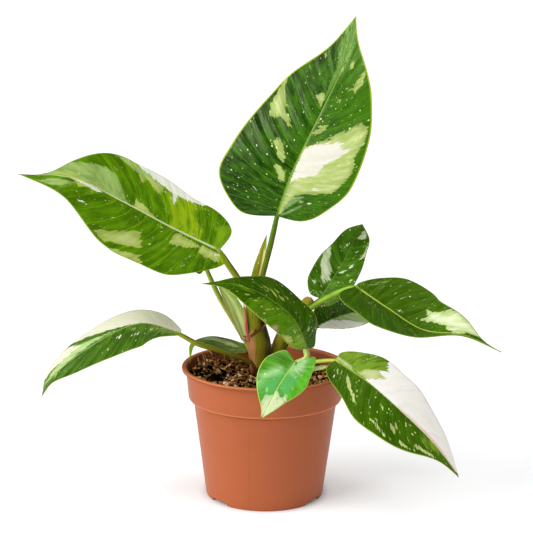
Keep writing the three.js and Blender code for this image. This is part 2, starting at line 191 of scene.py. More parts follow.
# Nursery pot: one thin injection moulding in terracotta-coloured polypropylene, with a rolled lip, a
# collar for stacking, a tapering body, and a foot ring notched in two pairs round a raised floor with
# six drain holes.
MM = 0.001
LIP_RADIUS = 60.0
POT_HEIGHT = 94.7
LIP_HEIGHT = 2.4
COLLAR_TOP_RADIUS = 57.0
COLLAR_FOOT_RADIUS = 55.3
COLLAR_FOOT_Z = 73.3
COLLAR_CORNER = 2.0
BODY_TOP_RADIUS = 51.7
FOOT_RADIUS = 42.4
WALL = 1.2
FLOOR_Z = 6.0
FOOT_RING_WIDTH = 2.8
POT_SIDES = 144
POT_CREASE = 35.0
FILLET_STEPS = 4
FILLET_GUARD = 0.6
FOOT_OPENINGS = {
    "Notch Width": 19 * MM,
    "Notch Top Width": 14.5 * MM,
    "Notch Height": 4.8 * MM,
    "Notch Spread": math.radians(52),
    "Turn": math.radians(3),
    "Ring Radius": FOOT_RADIUS * MM,
    "Drain Radius": 4 * MM,
    "Drain Circle": 27 * MM,
    "Drain Count": 6,
}
# How much deeper than wide a notch cutter is, so that it passes through the ring
NOTCH_REACH = 1.2
TERRACOTTA = (178, 97, 59)
TERRACOTTA_WORN = (190, 112, 75)
TERRACOTTA_DEEP = (166, 86, 49)
# Painted highlight on the lip and the collar's foot, and painted shadow below each, also the seam's
# colour
TERRACOTTA_HIGHLIGHT = (214, 122, 70)
TERRACOTTA_SHADOW_AND_SEAM = (132, 62, 34)
SEAM_X = -11.0


def filleted(corners):
    """A profile of (radius, height, fillet) corners, with each one rounded by its fillet."""
    profile = []
    for i, (radius, height, fillet) in enumerate(corners):
        here = np.array([radius, height])
        if not fillet:
            profile.append(here)
            continue
        before = np.array(corners[i - 1][:2]) - here
        after = np.array(corners[(i + 1) % len(corners)][:2]) - here
        before, after = (v / np.linalg.norm(v) for v in (before, after))
        profile.append(here + before * (fillet + FILLET_GUARD))
        for s in np.linspace(0, 1, FILLET_STEPS + 1):
            profile.append(here + before * fillet * (1 - s) ** 2 + after * fillet * s**2)
        profile.append(here + after * (fillet + FILLET_GUARD))
    return np.array(profile)


def lathed(profile, sides):
    """A closed mesh turned round Z from a profile that starts and ends on the axis."""
    radii, heights = profile[1:-1, :, None].swapaxes(0, 1)
    turn = np.linspace(0, 2 * np.pi, sides, endpoint=False)
    rings = np.stack([radii * np.cos(turn), radii * np.sin(turn), heights + 0 * turn], -1).reshape(-1, 3)
    places = np.vstack([rings, [[0, 0, profile[0][1]], [0, 0, profile[-1][1]]]])
    ids = np.arange(len(rings)).reshape(-1, sides)
    after = np.roll(ids, -1, 1)
    faces = np.stack([ids[:-1], after[:-1], after[1:], ids[1:]], -1).reshape(-1, 4).tolist()
    first, last = len(rings), len(rings) + 1
    faces += [[first, b, a] for a, b in zip(ids[0].tolist(), after[0].tolist())]
    faces += [[last, a, b] for a, b in zip(ids[-1].tolist(), after[-1].tolist())]
    return places * MM, faces


def mesh_from(name, places, faces, finish):
    mesh = bpy.data.meshes.new(name)
    mesh.from_pydata(np.asarray(places).tolist(), [], faces)
    mesh.materials.append(finish)
    mesh.polygons.foreach_set("use_smooth", [True] * len(mesh.polygons))
    mesh.update()
    return mesh


def geometry_tree(name, **labels):
    """A geometry tree with inputs of the given kinds and a finish: the tree, its inputs and its end."""
    tree = bpy.data.node_groups.new(name, "GeometryNodeTree")
    inputs = [(kind, label) for kind, some in labels.items() for label in some]
    for kind, label in (("Geometry", "Geometry"), *inputs, ("Material", "Finish")):
        tree.interface.new_socket(label, in_out="INPUT", socket_type=f"NodeSocket{kind}")
    tree.interface.new_socket("Geometry", in_out="OUTPUT", socket_type="NodeSocketGeometry")
    return tree, add(tree, "NodeGroupInput").outputs, add(tree, "NodeGroupOutput")


def painted(geometry, given, result):
    """Ends a geometry tree with the finish that it is given, and gives the tree."""
    tree = tree_of(geometry)
    inputs = {"Geometry": geometry, "Material": given["Finish"]}
    feed(tree, result, {"Geometry": made(tree, "GeometryNodeSetMaterial", inputs)})
    return tree


def worked(mesh, tree, settings):
    """The plain mesh that a geometry tree makes of a mesh, with the tree's inputs set."""
    carrier = placed("carrier", mesh)
    modifier = carrier.modifiers.new("work", "NODES")
    modifier.node_group = tree
    for item in tree.interface.items_tree:
        if item.in_out == "INPUT" and item.name in settings:
            modifier[item.identifier] = settings[item.name]
    evaluated = carrier.evaluated_get(bpy.context.evaluated_depsgraph_get())
    plain = bpy.data.meshes.new_from_object(evaluated)
    carrier.modifiers.clear()
    bpy.data.objects.remove(carrier)
    return plain


def seat(name, mesh, slot, *nodes):
    """Puts a finished mesh in the scene as a piece of the plant, in place of its CAD nodes."""
    obj = placed(name, mesh)
    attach(obj, "root")
    if nodes:
        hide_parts(*nodes)


def xyz(x=0.0, y=0.0, z=0.0):
    return made(tree_of(x, y, z), "ShaderNodeCombineXYZ", {"X": x, "Y": y, "Z": z})


def split(vector):
    return add(tree_of(vector), "ShaderNodeSeparateXYZ", {0: vector}).outputs


def minus(value, less):
    return maths("SUBTRACT", value, less)


def moved(geometry, **how):
    return made(tree_of(geometry), "GeometryNodeTransform", {"Geometry": geometry, **how})


def copied(points, shape, turn, size=(1, 1, 1)):
    """Copies of a shape, one on each point."""
    inputs = {"Points": points, "Instance": shape, "Rotation": turn, "Scale": size}
    return made(tree_of(points), "GeometryNodeInstanceOnPoints", inputs)


def foot_openings():
    """Cuts the notches and the drain holes: one cutter of each kind, repeated round the axis."""
    notch = ("Notch Width", "Notch Top Width", "Notch Height", "Notch Spread", "Turn")
    drain = ("Ring Radius", "Drain Radius", "Drain Circle")
    tree, given, result = geometry_tree("foot openings", Float=notch + drain, Int=["Drain Count"])
    index = made(tree, "GeometryNodeInputIndex")

    # A notch cutter is a four-sided cone, so its radii are half the diagonals of its square ends
    half_diagonal = math.sqrt(0.5)
    ends = {"Radius Top": given["Notch Top Width"], "Radius Bottom": given["Notch Width"]}
    ends = {end: times(width, half_diagonal) for end, width in ends.items()}
    wedge = {"Vertices": 4, "Depth": given["Notch Height"], **ends}
    wedge = moved(made(tree, "GeometryNodeMeshCone", wedge), Rotation=(0, 0, math.pi / 4))
    back = times(given["Ring Radius"], -1)
    lift = times(given["Notch Height"], -0.5)
    wedge = moved(wedge, Translation=xyz(y=back, z=lift), Scale=(1, NOTCH_REACH, 1))
    drill = {"Vertices": 32, "Radius": given["Drain Radius"], "Depth": 4 * FLOOR_Z * MM}
    centre = xyz(given["Drain Circle"], z=FLOOR_Z * MM)
    drill = moved(made(tree, "GeometryNodeMeshCylinder", drill), Translation=centre)

    # The notches stand in two pairs, spread to either side of the front and of the back
    pair = maths("FLOOR", maths("DIVIDE", index, 2))
    sign = minus(times(maths("MODULO", index, 2), 2), 1)
    notch_turn = maths("ADD", times(sign, given["Notch Spread"]), times(pair, math.pi))
    notch_turn = maths("ADD", notch_turn, given["Turn"])
    drain_turn = times(index, maths("DIVIDE", 2 * math.pi, given["Drain Count"]))
    cutters = add(tree, "GeometryNodeJoinGeometry")
    for cutter, count, turn in ((wedge, 4, notch_turn), (drill, given["Drain Count"], drain_turn)):
        points = made(tree, "GeometryNodePoints", {"Count": count})
        feed(tree, cutters, {0: copied(points, cutter, xyz(z=turn))})
    real = made(tree, "GeometryNodeRealizeInstances", {"Geometry": cutters.outputs[0]})
    meshes = {"Mesh 1": given["Geometry"], "Mesh 2": real}
    cut = made(tree, "GeometryNodeMeshBoolean", meshes, operation="DIFFERENCE")
    return painted(cut, given, result)


def noised(place, scale, detail, roughness=0.5):
    inputs = {"Vector": place, "Scale": scale, "Detail": detail, "Roughness": roughness}
    return made(tree_of(place), "ShaderNodeTexNoise", inputs)


def blend(share, under, over):
    """A share of one colour laid over another: each is a socket, or red, green and blue to 255."""
    under, over = (c if isinstance(c, bpy.types.NodeSocket) else paint(*c) for c in (under, over))
    mixed = {0: share, 6: under, 7: over}
    return add(tree_of(share), "ShaderNodeMix", mixed, data_type="RGBA").outputs[2]


def bump(strength, distance, height):
    inputs = {"Strength": strength, "Distance": distance, "Height": height}
    return made(tree_of(height), "ShaderNodeBump", inputs)


def band(value, middle, half, softness):
    """A soft-edged share that is one within half a width of a middle."""
    away = maths("ABSOLUTE", minus(value, middle))
    return ramp(away, half + softness, half)


pot_finish, tree, shader = finish_for("terracotta plastic", roughness=0.42, specular=0.15)
place = own_place(tree)
scuffs = noised(place, 140.0, 6.0)
tint = blend(noised(place, 22.0, 4.0), TERRACOTTA_DEEP, TERRACOTTA)
worn = times(ramp(scuffs, 0.62, 0.8, kind="LINEAR"), 0.15)
tint = blend(worn, tint, TERRACOTTA_WORN)
# Painted highlights along the top of the lip and the collar's foot, a painted shadow line below each,
# and the mould's seam
sideways, height = (maths("DIVIDE", split(place)[axis], MM) for axis in "XZ")
in_front = maths("LESS_THAN", split(place)["Y"], 0.0)
seam = times(band(sideways, SEAM_X, 0.15, 0.5), in_front)
seam = times(seam, band(height, 28.0, 18.0, 18.0))
for share, strength, colour in (
    (band(height, POT_HEIGHT - 0.3, 0.4, 0.5), 0.8, TERRACOTTA_HIGHLIGHT),
    (band(height, COLLAR_FOOT_Z - 0.9, 0.35, 0.4), 0.6, TERRACOTTA_HIGHLIGHT),
    (band(height, COLLAR_FOOT_Z - 2.3, 0.5, 0.5), 0.75, TERRACOTTA_SHADOW_AND_SEAM),
    (band(height, POT_HEIGHT - LIP_HEIGHT - 0.1, 0.3, 0.6), 0.6, TERRACOTTA_SHADOW_AND_SEAM),
    (seam, 0.16, TERRACOTTA_SHADOW_AND_SEAM),
):
    tint = blend(times(share, strength), tint, colour)
gloss = ramp(scuffs, 0.0, 1.0, 0.34, 0.5, "LINEAR")
grain = bump(0.12, 0.0002, noised(place, 900.0, 2.0))
feed(tree, shader, {"Base Color": tint, "Roughness": gloss, "Normal": grain})

# The moulding's profile, from the underside of its floor outwards and back down its inner wall: the
# radius, the height and the fillet of each corner
pot_profile = filleted([
    (0, FLOOR_Z, 0),
    (FOOT_RADIUS - FOOT_RING_WIDTH - 1, FLOOR_Z, 0.8),
    (FOOT_RADIUS - FOOT_RING_WIDTH, 0, 0.4),
    (FOOT_RADIUS, 0, 0.6),
    (BODY_TOP_RADIUS, COLLAR_FOOT_Z - COLLAR_CORNER, 0.5),
    (COLLAR_FOOT_RADIUS - 0.3, COLLAR_FOOT_Z - COLLAR_CORNER, 1.6),
    (COLLAR_TOP_RADIUS, POT_HEIGHT - LIP_HEIGHT, 0.5),
    (LIP_RADIUS, POT_HEIGHT - LIP_HEIGHT, 0.9),
    (LIP_RADIUS, POT_HEIGHT, 0.9),
    (COLLAR_TOP_RADIUS, POT_HEIGHT, 1.0),
    (COLLAR_TOP_RADIUS - WALL, POT_HEIGHT - LIP_HEIGHT, 0.8),
    (COLLAR_FOOT_RADIUS - WALL, COLLAR_FOOT_Z + WALL, 0.8),
    (BODY_TOP_RADIUS - WALL, COLLAR_FOOT_Z - WALL / 2, 0.6),
    (FOOT_RADIUS - WALL + 0.7, FLOOR_Z + WALL, 0.8),
    (0, FLOOR_Z + WALL, 0),
])
pot_mesh = mesh_from("pot", *lathed(pot_profile, POT_SIDES), pot_finish)
pot_mesh = worked(pot_mesh, foot_openings(), {**FOOT_OPENINGS, "Finish": pot_finish})
pot_mesh.set_sharp_from_angle(angle=math.radians(POT_CREASE))
seat("nursery_pot", pot_mesh, "pot_plastic", "pot")


# Potting mix: a loose plug of peat, bark fines and coir that fills the pot to a centimetre under its lip,
# heaped at the back left where old roots come up, with bark chips, golden root fibres and perlite on top.
SOIL_DOME = ((0, 87.0), (30, 86.0), (54.6, 83.5))
SOIL_RINGS = 54
SOIL_SIDES = 330
SOIL_GAP = 0.3
HEAPS = ((-27, 14, 8.6, 16), (-46, 2, 7.5, 14))
PERLITE_PATCH = (-28, -26, 10.0)
CLODS = ((0.085, 2.6), (0.23, 2.4), (0.6, 1.2))
CHIP_WOBBLE_SCALE = 700.0
TUBE_WOBBLE_SCALE = 110.0
CHANNEL_SHARPNESS = 6.0
CRUMB_SHINE = 0.06
# Near-black: partly the peat's own dark, partly painted shade for the gaps between the chips
SOIL_DARK_AND_GAP_SHADE = (4, 1, 0)
SOIL_BROWN = (196, 132, 70)
BARK_BROWN = (255, 204, 132)
FIBRE_DARK = (124, 80, 38)
FIBRE_GOLD = (228, 178, 104)
STUB_DARK = (220, 178, 130)
STUB_PALE = (252, 228, 190)
PERLITE_GREY = (246, 238, 220)
PERLITE_WHITE = (255, 254, 244)


def near(x, y, centre_x, centre_y, spread):
    return np.exp(-((x - centre_x) ** 2 + (y - centre_y) ** 2) / spread**2)


def soil_height(x, y):
    """The height of the soil's crumbly top at a place, in millimetres."""
    height = np.interp(np.hypot(x, y), *zip(*SOIL_DOME))
    height += sum(rise * near(x, y, heap_x, heap_y, spread) for heap_x, heap_y, rise, spread in HEAPS)
    for pitch, rise in CLODS:
        height += rise * noise.noise(Vector((x * pitch, y * pitch, rise)))
    return float(height)


def times_plus(value, factor, more):
    return maths("MULTIPLY_ADD", value, factor, more)


def read(tree, label, output="Fac"):
    return add(tree, "ShaderNodeAttribute", attribute_name=label).outputs[output]


def crumbly_finish(name, dark, light, grain, roughness, depth, own_shade=0.0):
    """Matt broken stuff, pitted to a depth: its shade follows a fine grain, and for a share the piece's
    own."""
    material, tree, shader = finish_for(name, roughness, CRUMB_SHINE)
    place = own_place(tree)
    own = minus(read(tree, "shade"), 0.5)
    shade = times_plus(own, own_shade, noised(place, grain, 3.0, 0.6))
    colour = blend(ramp(shade, 0.52, 0.8), dark, light)
    pits = bump(0.6, depth, noised(place, 4 * grain, 3.0))
    feed(tree, shader, {"Base Color": colour, "Normal": pits})
    return material


def named(tree, label, kind="FLOAT"):
    return made(tree, "GeometryNodeInputNamedAttribute", {"Name": label}, data_type=kind)


def stored(geometry, label, value, kind="FLOAT", domain="POINT"):
    inputs = {"Geometry": geometry, "Name": label, "Value": value}
    node = "GeometryNodeStoreNamedAttribute"
    return made(tree_of(geometry), node, inputs, data_type=kind, domain=domain)


def shifted(geometry, way, by):
    """A geometry whose points are moved by a length times their own way."""
    inputs = {"Geometry": geometry, "Offset": vectors("SCALE", way, by)}
    return made(tree_of(geometry), "GeometryNodeSetPosition", inputs)


def strewn():
    """Strews copies of a chip over a mesh, as thickly as one of its attributes says."""
    numbers = ("Density", "Smallest", "Largest", "Lean", "Roughen")
    kinds = {"Object": ["Chip"], "String": ["Where"], "Int": ["Seed"], "Float": numbers}
    tree, given, result = geometry_tree("strewn chips", **kinds)

    def by_chance(slot, kind, low, high):
        inputs = {2 * slot: low, 2 * slot + 1: high, "Seed": given["Seed"]}
        return add(tree, "FunctionNodeRandomValue", inputs, data_type=kind).outputs[slot]

    density = times(given["Density"], named(tree, given["Where"]))
    points = {"Mesh": given["Geometry"], "Density": density, "Seed": given["Seed"]}
    points = made(tree, "GeometryNodeDistributePointsOnFaces", points)
    chip = add(tree, "GeometryNodeObjectInfo", {"Object": given["Chip"]}).outputs["Geometry"]
    back, lean = times(given["Lean"], -1), given["Lean"]
    turn = by_chance(0, "FLOAT_VECTOR", xyz(back, back), xyz(lean, lean, 2 * math.pi))
    copies = copied(points, chip, turn, by_chance(1, "FLOAT", given["Smallest"], given["Largest"]))
    copies = stored(copies, "shade", by_chance(1, "FLOAT", 0.0, 1.0), domain="INSTANCE")
    real = made(tree, "GeometryNodeRealizeInstances", {"Geometry": copies})
    wobble = {"Scale": CHIP_WOBBLE_SCALE, "Detail": 1.0}
    wobble = add(tree, "ShaderNodeTexNoise", wobble).outputs["Color"]
    centred = vectors("SUBTRACT", wobble, (0.5, 0.5, 0.5))
    return painted(shifted(real, centred, given["Roughen"]), given, result)


def chip_shape(name, detail, scale):
    """A faceted lump a millimetre across before its scale, to be strewn."""
    ball = bmesh.new()
    bmesh.ops.create_icosphere(ball, subdivisions=detail, radius=0.5 * MM)
    bmesh.ops.scale(ball, vec=scale, verts=ball.verts)
    mesh = bpy.data.meshes.new(name)
    ball.to_mesh(mesh)
    ball.free()
    return mesh


def route_mesh(name, route, radii):
    """A line through a route in millimetres, which carries the radius of the tube that follows it."""
    mesh = bpy.data.meshes.new(name)
    corners = np.asarray(route, float) * MM
    mesh.from_pydata(corners.tolist(), [(i, i + 1) for i in range(len(corners) - 1)], [])
    girth = mesh.attributes.new("girth", "FLOAT", "POINT")
    girth.data.foreach_set("value", np.asarray(radii, np.float32) * MM)
    return mesh


def grown_tube():
    """Grows a closed tube along a route, with a channel on its upper side and an uneven skin. Each
    point keeps where it lies round and along the tube in millimetres, its share of the way, and the
    way that it faces."""
    lengths = {"Int": ("Steps", "Sides"), "Float": ("Channel", "Unevenness")}
    tree, given, result = geometry_tree("grown tube", **lengths)
    line = made(tree, "GeometryNodeMeshToCurve", {"Mesh": given["Geometry"]})
    line = made(tree, "GeometryNodeCurveSplineType", {"Curve": line}, spline_type="CATMULL_ROM")
    line = made(tree, "GeometryNodeResampleCurve", {"Curve": line, "Count": given["Steps"]})
    line = made(tree, "GeometryNodeSetCurveNormal", {"Curve": line}, mode="Z_UP")
    way = add(tree, "GeometryNodeSplineParameter").outputs
    line = stored(line, "share", way["Factor"])
    line = stored(line, "along", way["Length"])

    # The ring that is drawn along the line, pulled in at its top where the channel runs
    ring = {"Resolution": given["Sides"], "Radius": 1.0}
    around = made(tree, "GeometryNodeInputPosition")
    ring = made(tree, "GeometryNodeCurvePrimitiveCircle", ring)
    ring = stored(ring, "around", around, "FLOAT_VECTOR")
    channel = maths("POWER", maths("MAXIMUM", split(around)["Y"], 0.0), CHANNEL_SHARPNESS)
    shrink = minus(1.0, times(channel, given["Channel"]))
    ring = {"Geometry": ring, "Position": vectors("SCALE", around, shrink)}
    ring = made(tree, "GeometryNodeSetPosition", ring)
    girth = named(tree, "girth")
    tube = {"Curve": line, "Profile Curve": ring, "Scale": girth, "Fill Caps": True}
    tube = made(tree, "GeometryNodeCurveToMesh", tube)
    tube = stored(tube, "facing", made(tree, "GeometryNodeInputNormal"), "FLOAT_VECTOR")
    on_ring = split(named(tree, "around", "FLOAT_VECTOR"))
    reach = maths("DIVIDE", girth, MM)
    across, deep = (times(on_ring[axis], reach) for axis in "XY")
    lie = xyz(across, maths("DIVIDE", named(tree, "along"), MM), deep)
    tube = stored(tube, "lie", lie, "FLOAT_VECTOR")
    swell = made(tree, "ShaderNodeTexNoise", {"Scale": TUBE_WOBBLE_SCALE, "Detail": 2.0})
    swell = times(minus(swell, 0.5), given["Unevenness"])
    tube = shifted(tube, named(tree, "facing", "FLOAT_VECTOR"), swell)
    tube = made(tree, "GeometryNodeSetShadeSmooth", {"Geometry": tube})
    tube = made(tree, "GeometryNodeRealizeInstances", {"Geometry": tube})
    return painted(tube, given, result)


def tube_along(name, route, radii, finish, steps, sides, channel=0.0, unevenness=0.0):
    settings = {"Steps": steps, "Sides": sides, "Channel": channel, "Unevenness": unevenness * MM}
    return worked(route_mesh(name, route, radii), tube_tree, {**settings, "Finish": finish})


soil_finish = crumbly_finish("potting mix", SOIL_DARK_AND_GAP_SHADE, SOIL_BROWN, 330.0, 0.9, 0.0008, 0.7)
bark_finish = crumbly_finish("bark", SOIL_DARK_AND_GAP_SHADE, BARK_BROWN, 260.0, 0.8, 0.0004, 0.6)
fibre_finish = crumbly_finish("root fibre", FIBRE_DARK, FIBRE_GOLD, 200.0, 0.7, 0.0001)
stub_finish = crumbly_finish("root stub", STUB_DARK, STUB_PALE, 200.0, 0.7, 0.0001)
perlite_finish = crumbly_finish("perlite", PERLITE_GREY, PERLITE_WHITE, 500.0, 0.85, 0.0003)

# The plug keeps a little room to the floor and the wall of the pot
soil_floor = FLOOR_Z + WALL + SOIL_GAP
soil_wall = [
    (0, soil_floor),
    (FOOT_RADIUS - 1.3, soil_floor),
    (BODY_TOP_RADIUS - WALL - SOIL_GAP, COLLAR_FOOT_Z - 3),
    (BODY_TOP_RADIUS - WALL - SOIL_GAP, COLLAR_FOOT_Z + 0.4),
    (COLLAR_FOOT_RADIUS - WALL - SOIL_GAP, COLLAR_FOOT_Z + 2),
]
soil_reach = SOIL_DOME[-1][0]
soil_top = [(r, 0) for r in np.linspace(soil_reach, 0, SOIL_RINGS + 1)]
soil_places, soil_faces = lathed(np.array(soil_wall + soil_top, float), SOIL_SIDES)
is_top = np.arange(len(soil_places)) >= (len(soil_wall) - 1) * SOIL_SIDES
is_top[-2] = False
for i in np.flatnonzero(is_top):
    soil_places[i, 2] = soil_height(*(soil_places[i, :2] / MM)) * MM
# The plug has no per-piece shade attribute, so its top comes out near-black: painted shade between the
# chips
soil_mesh = mesh_from("soil", soil_places, soil_faces, soil_finish)

# How thickly each kind of chip lies, from none by the wall of the pot
soil_x, soil_y = soil_places[:, :2].T / MM
from_wall = np.where(is_top, soil_reach - np.hypot(*soil_places[:, :2].T) / MM, 0)
crumbled = np.clip(from_wall / 1.5 - 1.2, 0, 1)
by_heap = near(soil_x, soil_y, *HEAPS[0][:2], HEAPS[0][3])
for label, values in (
    ("crumbled", crumbled),
    ("barky", np.clip(from_wall / 2 - 2.2, 0, 1)),
    ("fibrous", np.clip(from_wall / 2 - 3, 0, 1) * (0.3 + 0.7 * by_heap)),
    ("speckled", crumbled * (0.05 + 0.3 * near(soil_x, soil_y, *PERLITE_PATCH))),
):
    soil_mesh.attributes.new(label, "FLOAT", "POINT").data.foreach_set("value", values)

tube_tree = grown_tube()
FIBRE_ROUTE = [(-5, 0, 0), (-2, 1.2, 1.4), (1.5, -0.4, 1.9), (5, 0.6, 0.4)]
FIBRE_RADII = (0.16, 0.26, 0.22, 0.1)
ROOT_STUBS = (
    ((-47.5, 15, 84), (-48.2, 15.5, 91), (-49.4, 16, 96)),
    ((-43.6, 17, 84), (-44.4, 17.5, 92), (-46, 18, 98)),
    ((-42.6, 18, 84), (-43.2, 18.5, 92), (-44.4, 19, 97)),
    ((-37.5, 20, 86), (-39, 21, 96), (-41.5, 22, 99.5)),
)
STUB_RADII = (0.6, 0.5, 0.25)
crumb = chip_shape("crumb", 1, (1, 0.85, 0.7))
bark = chip_shape("bark", 1, (1.6, 0.8, 0.35))
fibre = tube_along("fibre", FIBRE_ROUTE, FIBRE_RADII, fibre_finish, 7, 4)
perlite = chip_shape("perlite", 2, (1, 0.9, 0.75))
# What is strewn: the chip, how many to a square metre where they lie thickest, the attribute that
# thins them, the seed, the smallest and largest in millimetres, how far they lean and how rough they are
STREWN = {
    "soil_crumbs": (crumb, 190000.0, "crumbled", 3, 0.9, 3.4, 3.0, 0.0009, soil_finish),
    "bark_chips": (bark, 48000.0, "barky", 5, 2.0, 5.4, 0.7, 0.0007, bark_finish),
    "root_fibres": (fibre, 90000.0, "fibrous", 8, 0.8, 1.7, 0.9, 0.0006, fibre_finish),
    "perlite_grains": (perlite, 110000.0, "speckled", 21, 1.3, 3.4, 3.0, 0.0006, perlite_finish),
}
STREWN_INPUTS = ("Density", "Where", "Seed", "Smallest", "Largest", "Lean", "Roughen", "Finish")
strewn_tree = strewn()
for name, (chip, *settings) in STREWN.items():
    chip = placed("chip", chip)
    mesh = worked(soil_mesh, strewn_tree, {"Chip": chip, **dict(zip(STREWN_INPUTS, settings))})
    bpy.data.objects.remove(chip)
    seat(name, mesh, "potting_mix")
for number, route in enumerate(ROOT_STUBS, 1):
    stub = tube_along(f"root stub {number}", route, STUB_RADII, stub_finish, 14, 8, 0.0, 0.3)
    seat(f"root_stub_{number}", stub, "potting_mix")
seat("soil_plug", soil_mesh, "potting_mix", "soil")


# Stems: a short fleshy main stem that grows out of the soil and leans left, tan at its left below the
# scar, partly where an old sheath has dried on to it and partly painted light, and a thinner side shoot
# with a blunt brown top. A leaf that fell left a papery ragged scar round the main stem, and a pinkish
# bud sits at its foot.
MAIN_STEM = (
    [[-3, 1, 62], [-4, 1, 86], [-4.2, 1, 98], [-4.6, 1, 109], [-6.2, 1, 118], [-7.4, 1, 125],
     [-8.2, 1, 133], [-9, 1, 140], [-7.2, 2, 146], [-4.6, 2, 150]],
    [6.5, 6.9, 7.6, 8.4, 8.0, 6.9, 6.6, 5.6, 3.8, 2.2],
)
SIDE_STEM = (
    [[9, 7, 68], [8, 7, 90], [9, 7, 107], [17, 8, 124], [25, 9.2, 133], [29, 9.8, 137.5],
     [30.9, 10, 140.1], [32, 10.1, 141.6], [32.5, 10.2, 142.3]],
    [4.4, 4.6, 4.6, 4.3, 4.4, 4.5, 4.0, 2.8, 0.8],
)
FOOT_BUD = (
    [[-6, -3.5, 90.5], [-8.2, -7, 92.5], [-9.6, -9, 95], [-10.4, -9.9, 98.2]],
    [2.4, 2.4, 1.7, 0.3],
)
SCAR_CENTRE = (-6.6, 1.0, 121.4)
SCAR_SLOPE = 0.86
SCAR_RADIUS = 7.6
SCAR_STEPS = 150
SCAR_PROFILE = ((-0.9, -3.0), (0.2, -1.9), (0.8, -0.4), (1.1, 0.7), (1.9, 1.7))
SCAR_THICKNESS = 0.35
SCAR_TEARS = ((4, 3, 1.0), (13, 8, 0.7))
SCAR_CURL = 0.7
SCAR_RAGGED = 2.6
SCAR_BROWN = (128, 80, 42)
SCAR_PAPER = (244, 196, 140)
SKIN_SHEEN = (240, 236, 170)
SKIN_GLOSS = 0.36
SKIN_SHINE = 0.3
SCAR_SHARE = 0.64


def stretched(place, sizes):
    """A place with its axes scaled so that each of the given lengths becomes one."""
    return vectors("MULTIPLY", place, [1 / size for size in sizes])


def grown_noise(place, sizes, detail=3.0):
    """Noise whose features are the given number of millimetres across, along and deep."""
    return noised(stretched(place, sizes), 1.0, detail, 0.55)


def skin_finish(name, foot, top, lit, shaded, streak, rim=None, turn=(0.05, 0.95), dried=(2.0, 1.9)):
    """Waxy stem skin: it turns from its foot to its top, with painted light on its left side and painted
    shade on its right, streaks that run along it, darker pits, and a coloured line down each side of its
    channel.
    The painted lit colour at its left ends where the dried sheath does."""
    material, tree, shader = finish_for(name, SKIN_GLOSS, SKIN_SHINE)
    lie = read(tree, "lie", "Vector")
    share = read(tree, "share")
    uneven = minus(grown_noise(lie, (3, 9, 3)), 0.5)
    colour = blend(ramp(share, *turn), foot, top)
    # Painted light and shade: skin that faces left takes the lit colour, skin that faces right the shaded
    # one
    facing = split(read(tree, "facing", "Vector"))
    away_from_light = times_plus(uneven, 0.7, facing["X"])
    left = times(ramp(away_from_light, -0.2, -0.5), ramp(share, *dried))
    colour = blend(left, colour, lit)
    colour = blend(ramp(away_from_light, 0.3, 0.85), colour, shaded)
    streaks = grown_noise(lie, (0.7, 12, 0.7))
    colour = blend(ramp(streaks, 0.52, 0.72, 0.0, 0.75), colour, streak)
    specks = grown_noise(lie, (0.5, 0.9, 0.5), 2.0)
    darker = made(tree, "ShaderNodeHueSaturation", {"Value": 0.6, "Color": colour})
    colour = blend(ramp(specks, 0.64, 0.74, 0.0, 0.6), colour, darker)
    if rim:
        up = split(read(tree, "around", "Vector"))["Y"]
        beside = maths("ABSOLUTE", minus(up, 0.72))
        colour = blend(ramp(beside, 0.12, 0.04, 0.0, 0.8), colour, rim)
    gloss = ramp(streaks, 0.3, 0.7, SKIN_GLOSS - 0.06, SKIN_GLOSS + 0.12)
    ridged = bump(0.5, 0.0004, streaks)
    sheen = {"Specular Tint": paint(*SKIN_SHEEN), "Roughness": gloss}
    feed(tree, shader, {"Base Color": colour, "Normal": ridged, **sheen})
    return material


def leaf_scar(finish):
    """A thin closed ribbon round the stem, tilted with the scar, whose upper edge is torn."""
    sheets = []
    for inset in (0.0, SCAR_THICKNESS):
        for k, (out, rise) in enumerate(SCAR_PROFILE):
            share = k / (len(SCAR_PROFILE) - 1)
            for turn in np.linspace(0, 2 * np.pi, SCAR_STEPS, endpoint=False):
                cos, sin = math.cos(turn), math.sin(turn)
                torn = 0.0
                for pitch, start, strength in SCAR_TEARS:
                    torn += strength * noise.noise(Vector((pitch * cos, pitch * sin, start)))
                radius = SCAR_RADIUS + out + SCAR_CURL * share * torn - inset
                z = SCAR_SLOPE * SCAR_RADIUS * cos + rise + SCAR_RAGGED * share**2 * torn
                sheets.append((radius * cos, radius * sin, z))
    loop = np.array(sheets).reshape(2, -1, SCAR_STEPS, 3) + SCAR_CENTRE
    loop = np.vstack([loop[0], loop[1][::-1]])
    ids = np.arange(loop.shape[0] * SCAR_STEPS).reshape(-1, SCAR_STEPS)
    above = np.roll(ids, -1, 0)
    faces = np.stack([ids, np.roll(ids, -1, 1), np.roll(above, -1, 1), above], -1).reshape(-1, 4)
    return mesh_from("leaf scar", loop.reshape(-1, 3) * MM, faces.tolist(), finish)


